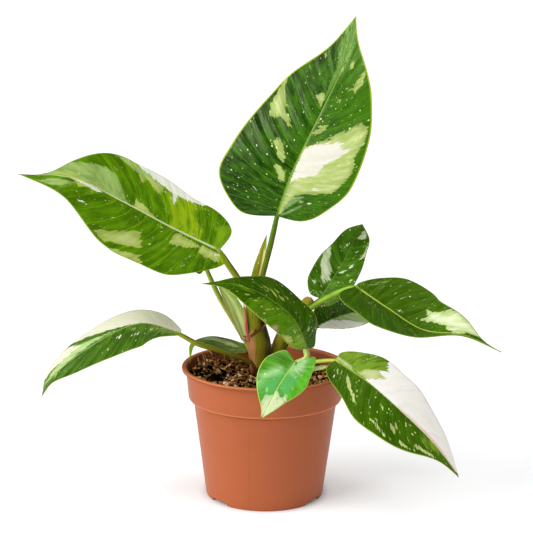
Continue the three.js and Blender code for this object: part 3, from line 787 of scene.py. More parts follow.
# Each skin: its foot, its top, the painted light of its left side, the painted shade of its right side
# and the streaks
stem_skin = ((138, 106, 24), (124, 130, 16), (178, 124, 78), (52, 38, 6), (70, 56, 4))
shoot_skin = ((160, 156, 36), (214, 150, 110), (186, 160, 50), (124, 116, 20), (120, 112, 20))
bud_skin = ((84, 54, 30), (150, 84, 66), (150, 92, 66), (70, 40, 22), (110, 66, 40))
stem_finish = skin_finish("main stem skin", *stem_skin, dried=(SCAR_SHARE + 0.05, SCAR_SHARE))
shoot_finish = skin_finish("side shoot skin", *shoot_skin, turn=(0.96, 1.0), dried=(0.96, 0.92))
bud_finish = skin_finish("foot bud skin", *bud_skin)
scar_finish = crumbly_finish("papery scar", SCAR_BROWN, SCAR_PAPER, 300.0, 0.8, 0.0003)
for name, (route, radii), finish, steps, sides, uneven, nodes in (
    ("stem_main", MAIN_STEM, stem_finish, 110, 48, 1.1, ["main_stem"]),
    ("stem_side", SIDE_STEM, shoot_finish, 90, 32, 0.7, ["side_stem"]),
    ("foot_bud", FOOT_BUD, bud_finish, 30, 20, 0.5, []),
):
    seat(name, tube_along(name, route, radii, finish, steps, sides, 0.0, uneven), "stem", *nodes)
seat("leaf_scar", leaf_scar(scar_finish), "stem")


# Leaf blades: eleven soft fleshy sheets, each with a midrib that stands out underneath, side veins that
# quilt the surface, a thin pale edge, and ivory, lime and milky sectors that run out along the veins.
STATIONS = (0.1, 0.25, 0.45, 0.65, 0.85)
VEIN_ROOT_POWER = 2.2
VEIN_SWEEP_POWER = 1.5
VEIN_CROWDING = 1.4
BLADE_DROOP = 0.08
BLADE_HALF = 0.3
EDGE_HALF = 0.2
RIB_RADIUS = 1.5
RIB_TIP_RADIUS = 0.35
GROOVE_DEPTH = 0.3
MARK_REACH = 8.0
ROWS_PER_MM = 1.6
FEWEST_ROWS = 30
FEWEST_COLUMNS = 10
MIDRIB_SAMPLES = 200
RIB_FULL_WIDTH = 30
MARGIN_WAVES = 26
SWELL_RISE = 2.4
RIPPLE_RISE = 0.3
RUFFLE_RISE = 1.5
LEAF_GLOSS = 0.26
MARKS = ("ivory", "lime", "pale", "fresh", "blush")
DRY_TIP = (132, 84, 46)
DASHES_FROM = (18.0, 30.0)
FLECK_PITCH = (3.4, 2.0, 20.0)
# What a leaf has where it doesn't say otherwise
USUAL_LEAF = dict(
    pale=(150, 178, 104), lime=(198, 214, 132), ivory=(246, 243, 229), blush=(232, 178, 160),
    fleck=(222, 232, 164), rib_colour=(150, 176, 72), edge=(150, 172, 48), edge_width=(0.8, 0.3),
    sheen=(222, 240, 150), shine=0.2, crease=0.0003, mottle=0.3, clear=0.45, dry=3.2, lighter=(),
    wave=0.0, lengthwise=False, soft_pale=1.0, soft_blush=1.5,
)

# Each leaf: five midrib points from the stalk to the tip, in millimetres, the way its upper face looks
# at the base and at the tip, the fold of its halves in degrees, and for each half how far back and out
# its lobe goes and then its half widths. Marks are outlines in percent, with a semicolon between two
# outlines: across, left of the midrib negative, and up the veins.
LEAVES = {
    "top": dict(
        midrib=[[7, 2, 203], [19, 6, 237], [38, 14, 276], [53, 26, 308], [62, 38, 341]],
        face=[[-0.2, -1, 0.25], [-0.4, -0.9, 0.25]], fold=[3, 3], left=[6, 27, 50, 49, 41, 31, 12],
        right=[-3, 19, 32, 43, 41, 28, 8], veins=17, quilt=0.7, crease=0.0005, dry=0.8,
        # Painted sheen: this leaf's fresh band at the tip, its pale patch by the midrib's foot and its
        # blush at the tip
        lighter=(0.002, 0.0006), dark=(14, 48, 0), mid=(60, 110, 4), fresh=(112, 152, 66),
        pale=(116, 148, 88), lime=(166, 186, 98), heart=(194, 206, 138), ivory=(226, 222, 208),
        rib_colour=(120, 154, 58), shine=0.28, sheen=(226, 240, 190), edge=(168, 186, 36),
        edge_width=(1.5, 0.5), blush=(108, 148, 62),
        marks={
            "lime": """0,62 22,63 55,64.5 85,64.5 95,62 94,58 87,56.5 86,55 90,52 90,49 83,46 80,43 72,41
            60,41 45,40.5 30,40 20,38 14,33 10,25 12,17 5,14 2,20 2,40 2,55; 2,36 14,36 12,28 9,20 7,14
            2,12; 2,66 10,68 30,68 25,67 10,65.5; 50,77.5 65,77.5 70,75 85,75.5 97,78 80,78 66,76.8;
            57,84.5 78,84 70,82.5 55,83.8; 0,86.4 20,86.2 20,85.6 0,85.6; 32,33 38,35.5 40,33; 30,75.8
            42,75.2 38,74.6; -100,66 -95,62 -90,58 -80,56.5 -70,58 -60,60.5 -45,61 -38,62 -50,62.5
            -62,62.5 -75,64 -90,65 -100,68; -52,54 -45,56.5 -35,56.5 -28,55.5 -20,55 -20,52.5 -33,52
            -38,53.5; -32,49 -20,50.5 -10,49.5 -6,45 -12,44 -18,46 -26,47.5; -32,74.5 -22,77 -15,77.5
            -8,76 -6,74 -20,74; -95,83 -84,82.6 -82,81.6 -93,81.8""",
            "ivory": """3,60.5 8,62 28,62.5 55,61.5 64,60.5 60,59.5 78,57.5 60,56.5 45,54.5 40,51 20,49.5
            8,48 3,45; 49,34 56,34 55,33 50,33; 42,44 52,43.6 52,42.9 42,43.2; -52,34.6 -38,31.4 -38,30.9
            -50,33.8""",
            "pale": "4,17 12,34 24,38 36,38.5 27,33 17,25 9,15; 10,13 24,24 38,31 46,32 32,22 18,13",
            "blush": "-34,93 -22,82 -5,76 -2,99 -34,100",
            "fresh": "-100,92 -60,88 0,84 40,86 100,92 100,100 -100,100",
        },
    ),
    "upper_left": dict(
        midrib=[[-33, -8, 180], [-66, -13, 197], [-99, -20, 216], [-132, -27, 233], [-168, -33, 236.5]],
        face=[[0.1, -0.8, 0.6], [0, -0.7, 0.7]], fold=[8, 8], left=[6, 9, 28, 37, 39, 29, 12],
        right=[3, 18, 27, 28, 32, 27, 3], veins=15, quilt=0.6, dark=(66, 108, 0), mid=(104, 154, 4),
        fresh=(150, 182, 20), pale=(154, 184, 98), blush=(124, 168, 22), wave=0.03, mottle=0.5,
        lime=(186, 206, 96), rib_colour=(214, 224, 164), ivory=(242, 245, 224), clear=0.5,
        marks={
            "pale": """0,71 8,72 20,73 40,72.5 60,73 75,75 90,78 99,80 99,88 80,90 40,90.5 10,90 0,87;
            78,62 76,52 84,46 106,40 106,70 92,68; 100,52 80,52 84,47 92,42 97,34 106,34; -92,92 -40,91
            -30,86 -70,86 -90,88""",
            "lime": """5,87.5 30,89 80,88 88,85 60,84 30,84.5 0,83; 1,70 12,69.5 20,68 12,64 6,62 0,60;
            60,64.5 75,63 82,60.5 75,61 65,63; 55,58 65,59.5 80,60 85,58 75,54 65,55.5; 90,64 100,66
            100,61 92,62; -96,67 -80,66.5 -65,64.5 -45,62 -38,60.5 -50,59.5 -58,57 -68,55 -75,57.5 -85,61
            -95,63; -100,60 -95,59 -88,55 -82,52 -90,51 -97,49 -100,52; -36,49 -28,50 -12,51 -5,49 -8,40
            -12,34 -18,36 -25,40 -30,45; -80,16 -70,19 -55,21 -48,22 -45,26 -36,28 -30,32 -15,34 -8,32
            -15,22 -20,18 -30,14 -50,12 -60,14; -40,84 -25,86 -10,88 0,89 0,82 -18,80 -25,83""",
            "fresh": """0,36 30,35 56,42 72,39 90,33 92,42 75,48 70,53 40,54 0,54; 20,12 70,16 74,20 50,24
            30,22; -104,4 0,4 -2,12 -60,15 -104,18""",
            "blush": "2,4 104,4 104,16 60,24 2,22",
            "ivory": """82,56 75,51 79,46 87,40 95,33 106,30 106,61 94,60; 52,51.6 62,51.2 75,50 75,48.8
            62,49.8; -50,13 -42,17.5 -32,19 -36,14.5; -18,81 -12,86 -4,88.5 0,89.5 0,82 -8,79; -82,79
            -72,77.6 -72,76.6 -80,78""",
        },
    ),
    "left_hidden": dict(
        midrib=[[-43, 8, 165], [-55, 16, 184], [-69, 23, 202], [-86, 28, 217], [-104, 31, 230]],
        face=[[0.3, -0.7, 0.6], [0.3, -0.7, 0.6]], fold=[10, 14], left=[3, 9, 14, 19, 18, 13, 5],
        right=[3, 9, 14, 20, 20, 15, 6], veins=11, quilt=0.3, dark=(76, 118, 2), mid=(112, 156, 8),
        marks={
            "pale": "30,40 60,44 100,40 100,90 60,88 40,70",
            "ivory": "70,66 84,58 100,48 100,88 88,80 72,72",
            "lime": "-60,40 -30,44 -10,60 -40,66 -80,60",
        },
    ),
    "centre_front": dict(
        midrib=[[29, -30, 116], [19, -35, 138], [0, -42, 155], [-21, -50, 165], [-43, -56, 167]],
        face=[[0.3, -0.55, 0.8], [0.1, -0.5, 0.85]], fold=[0, 0], left=[-4, 8, 14, 20, 22, 18, 4.4],
        right=[4, 9, 22, 21, 23, 12, 3], veins=12, quilt=0.35, dark=(44, 80, 0), mid=(72, 112, 0),
        fresh=(98, 146, 18), pale=(132, 168, 50), lime=(186, 206, 92), heart=(198, 214, 110), mottle=0.6,
        clear=0.34, shine=0.07, sheen=(236, 240, 90), rib_colour=(112, 150, 50),
        marks={
            "lime": """32,65 45,66.6 60,68.4 66,68 60,66.6 46,65; 40,70 52,71.6 58,71.4 48,70; 52,62
            62,63.4 64,62.6 56,61.4; 30,61.5 38,62.5 44,62 38,60.5; 48,57.5 56,57 52,56.2; 30,33 35,34.5
            47,33.4 42,31.5 32,32; 74,36.5 82,35.6 80,34.6; -100,30 -95,33 -80,32 -60,37 -58,40 -75,44
            -90,47 -100,46; -72,78 -60,78.7 -50,78 -60,77.6; -64,76.2 -48,74.2 -48,73.5 -62,75.4; -60,67.5
            -42,66.1 -42,65.5 -58,66.8; -100,62 -88,62 -90,60 -100,59.5; -25,38.6 -15,38 -16,37.2
            -24,37.6; -40,32.6 -26,32.2 -28,31.4 -38,31.6""",
            "fresh": """-38,80 -35,87 0,87 20,87 30,86 10,83 0,82 -15,80 -25,78; -100,5 0,5 -2,30 -6,60
            -20,74 -60,76 -100,74""",
            "pale": "-104,20 -60,14 0,8 6,16 0,34 -30,39 -60,34 -104,34",
            "blush": "-100,51 -85,53 -78,54.5 -90,55 -100,54",
        },
    ),
    "right_upper": dict(
        midrib=[[39, 14, 141], [47, 18, 153], [56, 25, 166], [63, 33, 179], [70, 40, 191]],
        face=[[-0.3, -0.9, 0.4], [-0.1, -1, 0.3]], fold=[15, 15], left=[1, 8, 15, 17, 17, 13, 8.5],
        right=[3, 9, 14, 17, 16, 13.5, 10.5], veins=10, quilt=0.25, dark=(46, 86, 4), mid=(84, 134, 26),
        lime=(214, 227, 180), heart=(226, 235, 200), clear=0.3, dry=0.6, rib_colour=(110, 148, 60),
        edge=(120, 150, 50),
        marks={
            "lime": """-100,68 -80,65.5 -60,62 -40,61 -25,60 -15,55 -5,53 -12,50 -20,48.5 -30,50 -20,46
            -26,44.6 -45,47 -60,51 -80,54 -92,58 -100,62; -70,35 -62,39 -54,37 -58,34; -35,39 -28,41
            -20,39.5 -26,38; 10,63 25,65 38,65 25,62.5; 45,79 55,79 60,77 48,77; 28,90 50,92.5 75,94
            100,94 100,92 85,89 75,87.5 60,89 45,88.5; 70,70 82,71 90,75 96,82 100,82 100,72 85,69; -20,86
            -12,87 -25,83 -38,81 -30,84""",
            "pale": "-18,31 -10,32 -6,29 -14,27; -50,20 -38,24 -22,18 -16,12 -30,15",
            "ivory": "45,67.4 54,67.2 54,66.2 46,66.4",
        },
    ),
    "right_long": dict(
        midrib=[[63, -8, 155], [86, -12, 140], [110, -20, 127], [137, -30, 126], [163, -36, 116]],
        face=[[0.1, -0.6, 0.8], [0.3, -0.4, 0.85]], fold=[14, 36], left=[-1, 5, 17, 29, 30, 20.5, 3],
        right=[7, 19, 25, 28, 22, 11, 2.6], veins=13, quilt=0.35, dark=(50, 86, 1), mid=(72, 112, 5),
        fresh=(100, 134, 20), lime=(200, 218, 146), heart=(228, 234, 202), rib_colour=(184, 206, 82),
        edge=(126, 154, 52), clear=0.55,
        marks={
            "lime": """-100,86 -60,85 -20,86 0,85.5 -10,83 -22,83 -28,81 -35,79.5 -48,78.5 -42,75 -38,72
            -25,69 -30,68.5 -45,69 -50,67 -60,64.5 -68,68 -80,71.5 -95,71.5 -100,74""",
            "pale": """-75,36 -68,32 -62,31 -66,34.5; -56,34.5 -45,30 -40,26 -44,25.6 -54,32; 25,38
            34,37.4 32,36.4""",
            "ivory": "-15,59 -9,58.4 -11,57.4",
            "fresh": "-100,0 -40,0 -30,14 -70,20 -100,18; 0,76 0,92 100,92 100,72 60,74",
        },
    ),
    "right_behind": dict(
        midrib=[[38, 17, 120], [49, 25, 123], [63, 40, 124], [77, 60, 122], [87, 80, 115]],
        face=[[0.2, -0.6, 0.8], [0.1, -0.4, 0.9]], fold=[8, 12], left=[1, 7, 13, 17, 17, 13, 5],
        right=[0, 3, 6, 12, 16, 13, 5], veins=11, quilt=0.25, dark=(34, 66, 0), mid=(66, 104, 6),
        ivory=(255, 253, 240), pale=(176, 200, 132), clear=0.3,
        marks={
            "ivory": "0,20 0,52 20,56 35,60 60,61 100,61 100,5 30,5",
            "pale": "0,50 2,74 30,77 70,72 100,66 100,60 60,61 35,60 20,56",
            "lime": "-80,47 -74,49 -72,45 -78,43; -36,57 -28,57.5 -30,55",
        },
    ),
    "right_low": dict(
        midrib=[[48, -46, 112], [72, -57, 98], [93, -65, 81], [115, -66, 59], [133, -62, 34]],
        face=[[0.2, -0.8, 0.6], [0.4, -0.8, 0.5]], fold=[-4, -4], left=[0, 8, 18, 24, 24, 18, 8],
        right=[1, 10, 17, 24, 26, 18, 5], veins=13, quilt=0.35, dark=(50, 86, 0), mid=(68, 108, 4),
        fresh=(126, 162, 42), ivory=(254, 250, 242), clear=0.42, wave=0.035, mottle=0.4,
        marks={
            "ivory": """-104,42 -92,43 -85,45 -75,46 -70,49 -62,48 -50,46 -45,53 -30,52 -22,51.5 -8,50.5
            -1,47 1.5,60 1.5,72 2,80 1,92 -60,98 -104,96; 64,24 75,25 74,23.4""",
            "lime": """-50,47 -35,43 -15,42 -5,40 -2,54 -8,54 -20,54 -45,56; -70,8 -30,17 -12,34 -1,38
            -1,2 -50,4; 22,35.5 30,38.5 45,41 55,45 65,47 73,46.5 68,44 56,41 54,38 45,37 35,35; 55,68
            62,69 72,68.5 75,68 65,66; 75,76 82,80 88,84 95,83 92,79 85,76; 48,69.6 60,70.6 60,69.6; 82,60
            90,66 93,65 87,59; 74,57 82,63 84,62 78,56.4; 84,70 92,75 95,74 88,69.6; 25,62 35,63.5 33,62;
            30,23.5 45,26 52,25.4 40,23.6; 22,28 40,30.8 38,29.2; 64,59 70,60 69,58""",
            "fresh": "-100,5 0,5 -2,45 -50,50 -100,46; 0,84 30,82 50,80.5 72,82 60,87 30,90 8,92",
            "blush": "-70,97 -34,94 -22,88 -12,80 -4,70 0,72 0,98",
        },
    ),
    "front_small": dict(
        midrib=[[20, -64, 115], [13, -70, 107], [7, -74, 98], [2, -76, 88], [-3, -77, 79]],
        face=[[-0.1, -0.95, 0.35], [-0.1, -1, 0.1]], fold=[4, 4], left=[10, 9, 15, 16, 13, 8, 3],
        right=[3, 10, 16, 18, 16, 10, 3], veins=9, quilt=0.3, dark=(66, 122, 10), mid=(90, 166, 34),
        fresh=(94, 184, 40), blush=(92, 184, 100), soft_pale=4.0, soft_blush=4.0, clear=0.22, shine=0.32,
        sheen=(226, 244, 222), rib_colour=(172, 214, 76), edge=(168, 200, 84), pale=(168, 216, 146),
        lime=(208, 222, 168), heart=(212, 222, 174),
        marks={
            "lime": """-104,70 -85,65 -62,63.5 -68,67 -60,72 -50,73.5 -35,72 -25,71 -5,71.5 0,77 20,78
            35,76 60,75 80,78 104,81 104,102 -104,102""",
            # Painted sheen: the pale patch at the foot of the left half stands for glossy reflection
            "pale": "-80,8 -60,18 -38,34 -20,44 0,44 0,6 -80,4; 14,50 40,56 92,63 86,58.5 60,51 30,44",
            "fresh": "-104,14 -70,22 -46,34 -46,56 -70,66 -104,60",
            "blush": "-44,40 -20,46 0,44 0,70 -40,71 -70,64 -60,50; 4,48 40,58 88,68 70,74 34,76 4,76",
        },
    ),
    "left_low": dict(
        midrib=[[-60, -20, 123], [-87, -24, 131], [-115, -30, 120], [-144, -36, 99], [-155, -40, 82]],
        face=[[0.1, -0.65, 0.75], [0, -0.65, 0.75]], fold=[-14, -14], left=[0, 1.4, 6.6, 15.5, 15, 10, 2],
        right=[0, 5, 13.5, 15.5, 15, 12.5, 4.8], veins=12, quilt=0.12, dark=(44, 82, 8),
        mid=(88, 130, 26), fresh=(118, 140, 60), pale=(170, 198, 128), lime=(158, 188, 96),
        heart=(170, 196, 110), ivory=(232, 230, 204), blush=(84, 84, 30), shine=0.32,
        sheen=(226, 240, 216),
        marks={
            "ivory": """8,14 4,28 2,38 1,50 2,57 10,62.5 30,66 60,68.5 92,69.2 108,69 108,5 30,5; 54,75
            88,71.5 108,73 108,87 90,87 62,81; -42,63 -32,64.4 -29,63 -38,62; -50,53.6 -45,53.6 -44,51.4
            -48,52""",
            "pale": "6,66 24,70.5 40,72.5 64,73.5 64,90 0,91 -30,88 8,84 14,76",
            "lime": """-70,85.5 0,87 60,88.5 108,91 60,92 0,90.5; -18,41 -12,41 2,31 -2,30; -30,57.2
            -18,57.2 -20,56; -30,44.6 -22,44.8 -24,43.6""",
            "blush": "58,81.5 75,85 106,90 106,88 80,83",
            "fresh": "-30,5 20,5 4,30 0,45 -30,46 -50,20",
        },
    ),
    "left_small": dict(
        midrib=[[-14, 20, 100], [-28, 20, 101], [-41, 16, 106], [-52, 7, 107], [-54, -7, 97.5]],
        face=[[0.1, -0.3, 0.95], [-0.6, -0.4, 0.7]], fold=[15, 15], left=[0, 4, 6, 8, 8, 3.8, 1],
        right=[1, 5, 8, 11, 9, 4.6, 1.4], veins=9, quilt=0.2, lengthwise=True, dark=(64, 92, 16),
        mid=(124, 146, 72), pale=(172, 180, 132), lime=(150, 182, 30), heart=(160, 190, 40),
        marks={
            "pale": "20,34 60,40 100,60 90,72 50,60",
            "lime": "-100,74 0,78 100,74 100,100 -100,100",
        },
    ),
}


def along_spline(corners, share, straight_ends):
    """Place and slope on a uniform spline, whose ends run on straight or come to rest."""
    corners = np.asarray(corners, float)
    spans = len(corners) - 1
    share = np.clip(np.asarray(share, float), 0, 1) * spans
    i = np.minimum(share.astype(int), spans - 1)
    w = (share - i)[..., None]
    first = 2 * corners[0] - corners[1] if straight_ends else corners[0]
    last = 2 * corners[-1] - corners[-2] if straight_ends else corners[-1]
    padded = np.vstack([first, corners, last])
    before, start, end, after = (padded[i + k] for k in range(4))
    leave, arrive = (end - before) / 2, (after - start) / 2
    cube = 2 * start - 2 * end + leave + arrive
    square = -3 * start + 3 * end - 2 * leave - arrive
    place = cube * w**3 + square * w**2 + leave * w + start
    return place, (3 * cube * w**2 + 2 * square * w + leave) * spans


def unit(ways):
    return ways / np.linalg.norm(ways, axis=-1, keepdims=True)


def widest_half(leaf):
    return max(leaf["left"][2:] + leaf["right"][2:])


def on_blade(leaf, station, across, lift):
    """A point of a blade's surface, from its station along the midrib, its millimetres across and its
    lift off the surface."""
    inside = np.clip(station, 0, 1)
    spine, slope = along_spline(leaf["midrib"], inside, True)
    spine = spine + slope * (station - inside)[..., None]
    along = unit(slope)
    base, tip = np.array(leaf["face"], float)
    right = unit(np.cross(along, base + (tip - base) * inside[..., None]))
    up = np.cross(right, along)
    fold = np.radians(leaf["fold"][0] + (leaf["fold"][1] - leaf["fold"][0]) * inside)
    rise = np.abs(across) * np.sin(fold) - BLADE_DROOP * across**2 / widest_half(leaf) + lift
    return spine + right * (across * np.cos(fold))[..., None] + up * rise[..., None]


def depth_inside(places, outline):
    """How far inside an outline each place is, and below zero outside it."""
    edges = np.roll(outline, -1, 0) - outline
    away = places[:, None] - outline
    share = np.clip((away * edges).sum(-1) / (edges**2).sum(-1), 0, 1)
    gap = np.linalg.norm(away - share[..., None] * edges, axis=-1).min(1)
    rising = (away[..., 1] < 0) != (away[..., 1] < edges[:, 1])
    turn = away[..., 0] * edges[:, 1] - away[..., 1] * edges[:, 0]
    crossed = rising & ((turn < 0) == (edges[:, 1] > 0))
    return np.where(crossed.sum(1) % 2 == 1, gap, -gap)


def sheet_faces(rows, columns):
    """The faces of two grids, one over the other, that are joined at their sides and meet in a point
    at each end, and the numbers of the points that they use."""
    size = rows * columns
    ids = np.arange(size).reshape(rows, columns)
    ids[0], ids[-1] = ids[0, columns // 2], ids[-1, columns // 2]
    top = np.stack([ids[:-1, :-1], ids[:-1, 1:], ids[1:, 1:], ids[1:, :-1]], -1).reshape(-1, 4)
    quads = [top, top[:, ::-1] + size]
    for rim, order in ((ids[:, 0], 1), (ids[:, -1], -1)):
        strip = np.stack([rim[:-1], rim[1:], rim[1:] + size, rim[:-1] + size], -1)
        quads.append(strip[:, ::order])
    quads = np.vstack(quads)
    used, renumbered = np.unique(quads, return_inverse=True)
    faces = [list(dict.fromkeys(face)) for face in renumbered.reshape(quads.shape).tolist()]
    return [face for face in faces if len(face) > 2], used


def blade_mesh(name, leaf, number, finish):
    """A closed blade, on a grid whose rows follow the side veins from the midrib to the edge."""
    spine, _ = along_spline(leaf["midrib"], np.linspace(0, 1, MIDRIB_SAMPLES), True)
    length = np.linalg.norm(np.diff(spine, axis=0), axis=1).sum()
    widest = widest_half(leaf)
    rows = max(int(ROWS_PER_MM * length), FEWEST_ROWS)
    columns = max(int(widest), FEWEST_COLUMNS)
    ups, outs = np.linspace(0, 1, rows + 1), np.linspace(-1, 1, 2 * columns + 1)
    vein, across = np.meshgrid(ups, outs, indexing="ij")
    side, out = np.sign(across), np.abs(across)
    margins = []
    for back, wide, *widths in (leaf["left"], leaf["right"]):
        corners = [(0, 0), (-back / length, wide), *zip(STATIONS, widths), (1, 0)]
        margins.append(along_spline(corners, vein, False)[0])
    edge = np.where((across < 0)[..., None], *margins)
    root = vein**VEIN_ROOT_POWER
    station = root + (edge[..., 0] - root) * out**VEIN_SWEEP_POWER
    wave = 1 + leaf["wave"] * np.sin(MARGIN_WAVES * vein + 2 * side) * np.sin(np.pi * vein)
    reach = across * edge[..., 1] * wave

    # Relief: swellings between the side veins, a shallow wave at the edge, and the midrib
    phase = leaf["veins"] * vein**VEIN_CROWDING + np.where(across > 0, 0.35, 0) + number
    swell = np.abs(np.sin(np.pi * phase)) ** 0.8 - 0.5
    uneven = 0.7 + 0.3 * np.sin(5.1 * phase + 3 * across)
    bell = out**0.6 * (1 - out) ** 0.5 * (4 * vein * (1 - vein)) ** 0.5
    relief = leaf["quilt"] * SWELL_RISE * swell * uneven * bell
    ripples = np.sin(5.3 * np.pi * phase + 3 * out) * np.sin(1.7 * np.pi * phase + 4 * out + number)
    relief += RIPPLE_RISE * leaf["quilt"] * ripples * bell
    ruffle = np.sin(9 * vein + 2 * side + number)
    relief += leaf["quilt"] * RUFFLE_RISE * ruffle * out**4 * (1 - vein)
    rib = RIB_RADIUS + (RIB_TIP_RADIUS - RIB_RADIUS) * np.clip(station, 0, 1) ** 0.7
    rib *= min(widest / RIB_FULL_WIDTH, 1)
    half = BLADE_HALF + (EDGE_HALF - BLADE_HALF) * out
    groove = GROOVE_DEPTH * np.exp(-((reach / (0.6 * rib)) ** 2))
    ridge = rib * np.exp(-((reach / rib) ** 2))
    upper = on_blade(leaf, station, reach, relief + half - groove)
    lower = on_blade(leaf, station, reach, relief - half - ridge)
    faces, used = sheet_faces(*vein.shape)
    places = np.vstack([upper.reshape(-1, 3), lower.reshape(-1, 3)])[used] * MM
    mesh = mesh_from(name, places, faces, finish)

    # What the finish reads: where each point lies along and across, and how deep in each mark
    def both(field):
        return np.concatenate([field.ravel(), field.ravel()])[used]

    gaps = [np.linalg.norm(upper - upper[:, [rim]], axis=-1) for rim in (0, -1)]
    fields = {
        "edge": both(np.minimum(*gaps)),
        "rib": both(np.abs(reach) / rib),
        "phase": both(phase),
        "from_tip": both((1 - vein) * length),
        "under": (used >= vein.size).astype(float),
    }
    flat = np.stack([(across * widest).ravel(), (vein * length).ravel()], 1)
    for mark in MARKS:
        depths = [np.full(vein.size, -MARK_REACH)]
        for outline in filter(None, leaf["marks"].get(mark, "").split(";")):
            percent = np.array([corner.split(",") for corner in outline.split()], float)
            depths.append(depth_inside(flat, percent * [widest / 100, length / 100]))
        fields[mark] = both(np.minimum(np.max(depths, axis=0), MARK_REACH))
    for label, values in fields.items():
        attribute = mesh.attributes.new(label, "FLOAT", "POINT")
        attribute.data.foreach_set("value", values.astype(np.float32))
    lie = [both(across * widest), both(vein * length), 40.0 * number + 15 * fields["under"]]
    if leaf["lengthwise"]:
        lie[:2] = lie[1::-1]
    lie = np.stack(lie, 1).astype(np.float32)
    attribute = mesh.attributes.new("lie", "FLOAT_VECTOR", "POINT")
    attribute.data.foreach_set("vector", lie.ravel())
    return mesh


def shade(colour, share):
    return tuple(min(share * part, 255) for part in colour)


def blade_finish(name, leaf):
    """Glossy variegated leaf: two greens in streaks along the side veins, patches with torn edges,
    scattered flecks, and a pale midrib and margin. The underside is duller and paler."""
    material, tree, shader = finish_for(f"blade {name}", LEAF_GLOSS, leaf["shine"])
    lie, rib, under = read(tree, "lie", "Vector"), read(tree, "rib"), read(tree, "under")
    torn = minus(grown_noise(lie, (7, 1.1, 9), 4.0), 0.5)
    torn = times(torn, ramp(rib, 0.4, 2.5, 0.3, 1.0))
    broad = grown_noise(lie, (16, 10, 30))
    patches = grown_noise(lie, (13, 3.4, 12))
    streaks = grown_noise(lie, (16, 1.1, 12))

    def torn_depth(mark, tearing):
        return times_plus(torn, tearing, read(tree, mark))

    def within(mark, tearing, softness):
        return ramp(torn_depth(mark, tearing), -softness, softness)

    def streaked(dark, light, low=0.35, high=0.65):
        return blend(ramp(patches, low, high), dark, light)

    # Greens, lighter along the side veins and in fresh growth
    mixed = maths("ADD", times(patches, 0.7), times(broad, 0.3))
    laid = split(lie)
    for axis, gain in zip("XY", leaf["lighter"]):
        mixed = times_plus(laid[axis], gain, mixed)
    mid = leaf["mid"]
    colour = blend(ramp(mixed, 0.33, 0.69), leaf["dark"], mid)
    # Where a leaf's fresh band stands for gloss, as at the top leaf's tip, this is painted sheen
    growing = times(within("fresh", 9.0, 2.5), ramp(patches, 0.36, 0.56, leaf["mottle"], 1.0))
    colour = blend(growing, colour, leaf.get("fresh", shade(mid, 1.4)))
    cell = minus(maths("FRACT", read(tree, "phase")), 0.5)
    vein_line = ramp(maths("ABSOLUTE", cell), 0.455, 0.5)
    colour = blend(times(vein_line, 0.35), colour, shade(mid, 1.45))

    # Variegation: milky, lime and ivory, each inside its own outlines
    pale, lime, ivory = leaf["pale"], leaf["lime"], leaf["ivory"]
    # Where milky outlines stand for gloss, as on the top leaf and the small front leaf, this is painted
    # sheen
    milky = times(within("pale", 5.0, leaf["soft_pale"]), ramp(patches, 0.3, 0.5, 0.88, 0.98))
    colour = blend(milky, colour, streaked(shade(pale, 0.92), shade(pale, 1.08)))
    inner = ramp(torn_depth("lime", 8.0), 0.5, 4.5)
    heart = leaf.get("heart", tuple(0.7 * part + 70 for part in lime))
    limes = blend(inner, streaked(shade(lime, 0.86), lime), streaked(lime, heart))
    colour = blend(within("lime", 6.0, 0.22), colour, limes)
    white = within("ivory", 6.0, 0.3)
    colour = blend(white, colour, streaked(shade(ivory, 0.97), ivory, 0.3, 0.5))

    # Flecks, most of them along the veins
    dots = {"Vector": stretched(lie, FLECK_PITCH), "Scale": 1.0}
    dots = add(tree, "ShaderNodeTexVoronoi", dots).outputs
    chance = made(tree, "ShaderNodeSeparateColor", {0: dots["Color"]})
    clustered = times_plus(minus(0.5, broad), 1.2, leaf["clear"])
    size = times(minus(chance, clustered), 0.4)
    flecks = ramp(minus(size, dots["Distance"]), 0.0, 0.04)
    dashes = ramp(grown_noise(lie, (5, 0.45, 3), 1.0), 0.73, 0.77)
    dashes = times(dashes, ramp(laid["Y"], *DASHES_FROM))
    flecks = times(maths("MAXIMUM", flecks, dashes), minus(0.95, white))
    colour = blend(flecks, colour, leaf["fleck"])

    # Blushes, the midrib, the margin, the dry tip and the duller underside
    # Where a blush stands for gloss, as at the top leaf's tip, this is painted sheen
    colour = blend(times(within("blush", 2.0, leaf["soft_blush"]), 0.75), colour, leaf["blush"])
    marked = maths("MAXIMUM", white, times(inner, 0.8))
    strength = times(ramp(rib, 0.8, 0.35), times_plus(marked, -0.7, 1.0))
    colour = blend(strength, colour, leaf["rib_colour"])
    margin = times(ramp(read(tree, "edge"), *leaf["edge_width"]), times_plus(white, -0.85, 1.0))
    colour = blend(margin, colour, leaf["edge"])
    colour = blend(ramp(read(tree, "from_tip"), leaf["dry"], 0.3), colour, DRY_TIP)
    dull = {"Saturation": 0.75, "Value": 1.25, "Color": colour}
    colour = blend(under, colour, made(tree, "ShaderNodeHueSaturation", dull))

    # Waxy gloss that varies from place to place, and fine veins between the side veins
    gloss = times_plus(under, 0.22, ramp(broad, 0.3, 0.7, 0.2, 0.3))
    fine = bump(times_plus(white, -0.4, 0.55), leaf["crease"], streaks)
    waxy = {"Specular Tint": paint(*leaf["sheen"]), "Roughness": gloss, "Normal": fine}
    feed(tree, shader, {"Base Color": colour, **waxy})
    return material


for number, (leaf_name, leaf) in enumerate(LEAVES.items()):
    leaf = {**USUAL_LEAF, **leaf}
    blade = blade_mesh(f"blade_{leaf_name}", leaf, number, blade_finish(leaf_name, leaf))
    seat(f"blade_{leaf_name}", blade, "blade", f"leaf_{leaf_name}")


# Stalks: each blade hangs on a fleshy stalk that clasps the stem with a wider foot, has a shallow
# channel along its upper side, and runs on into the midrib underneath the blade.

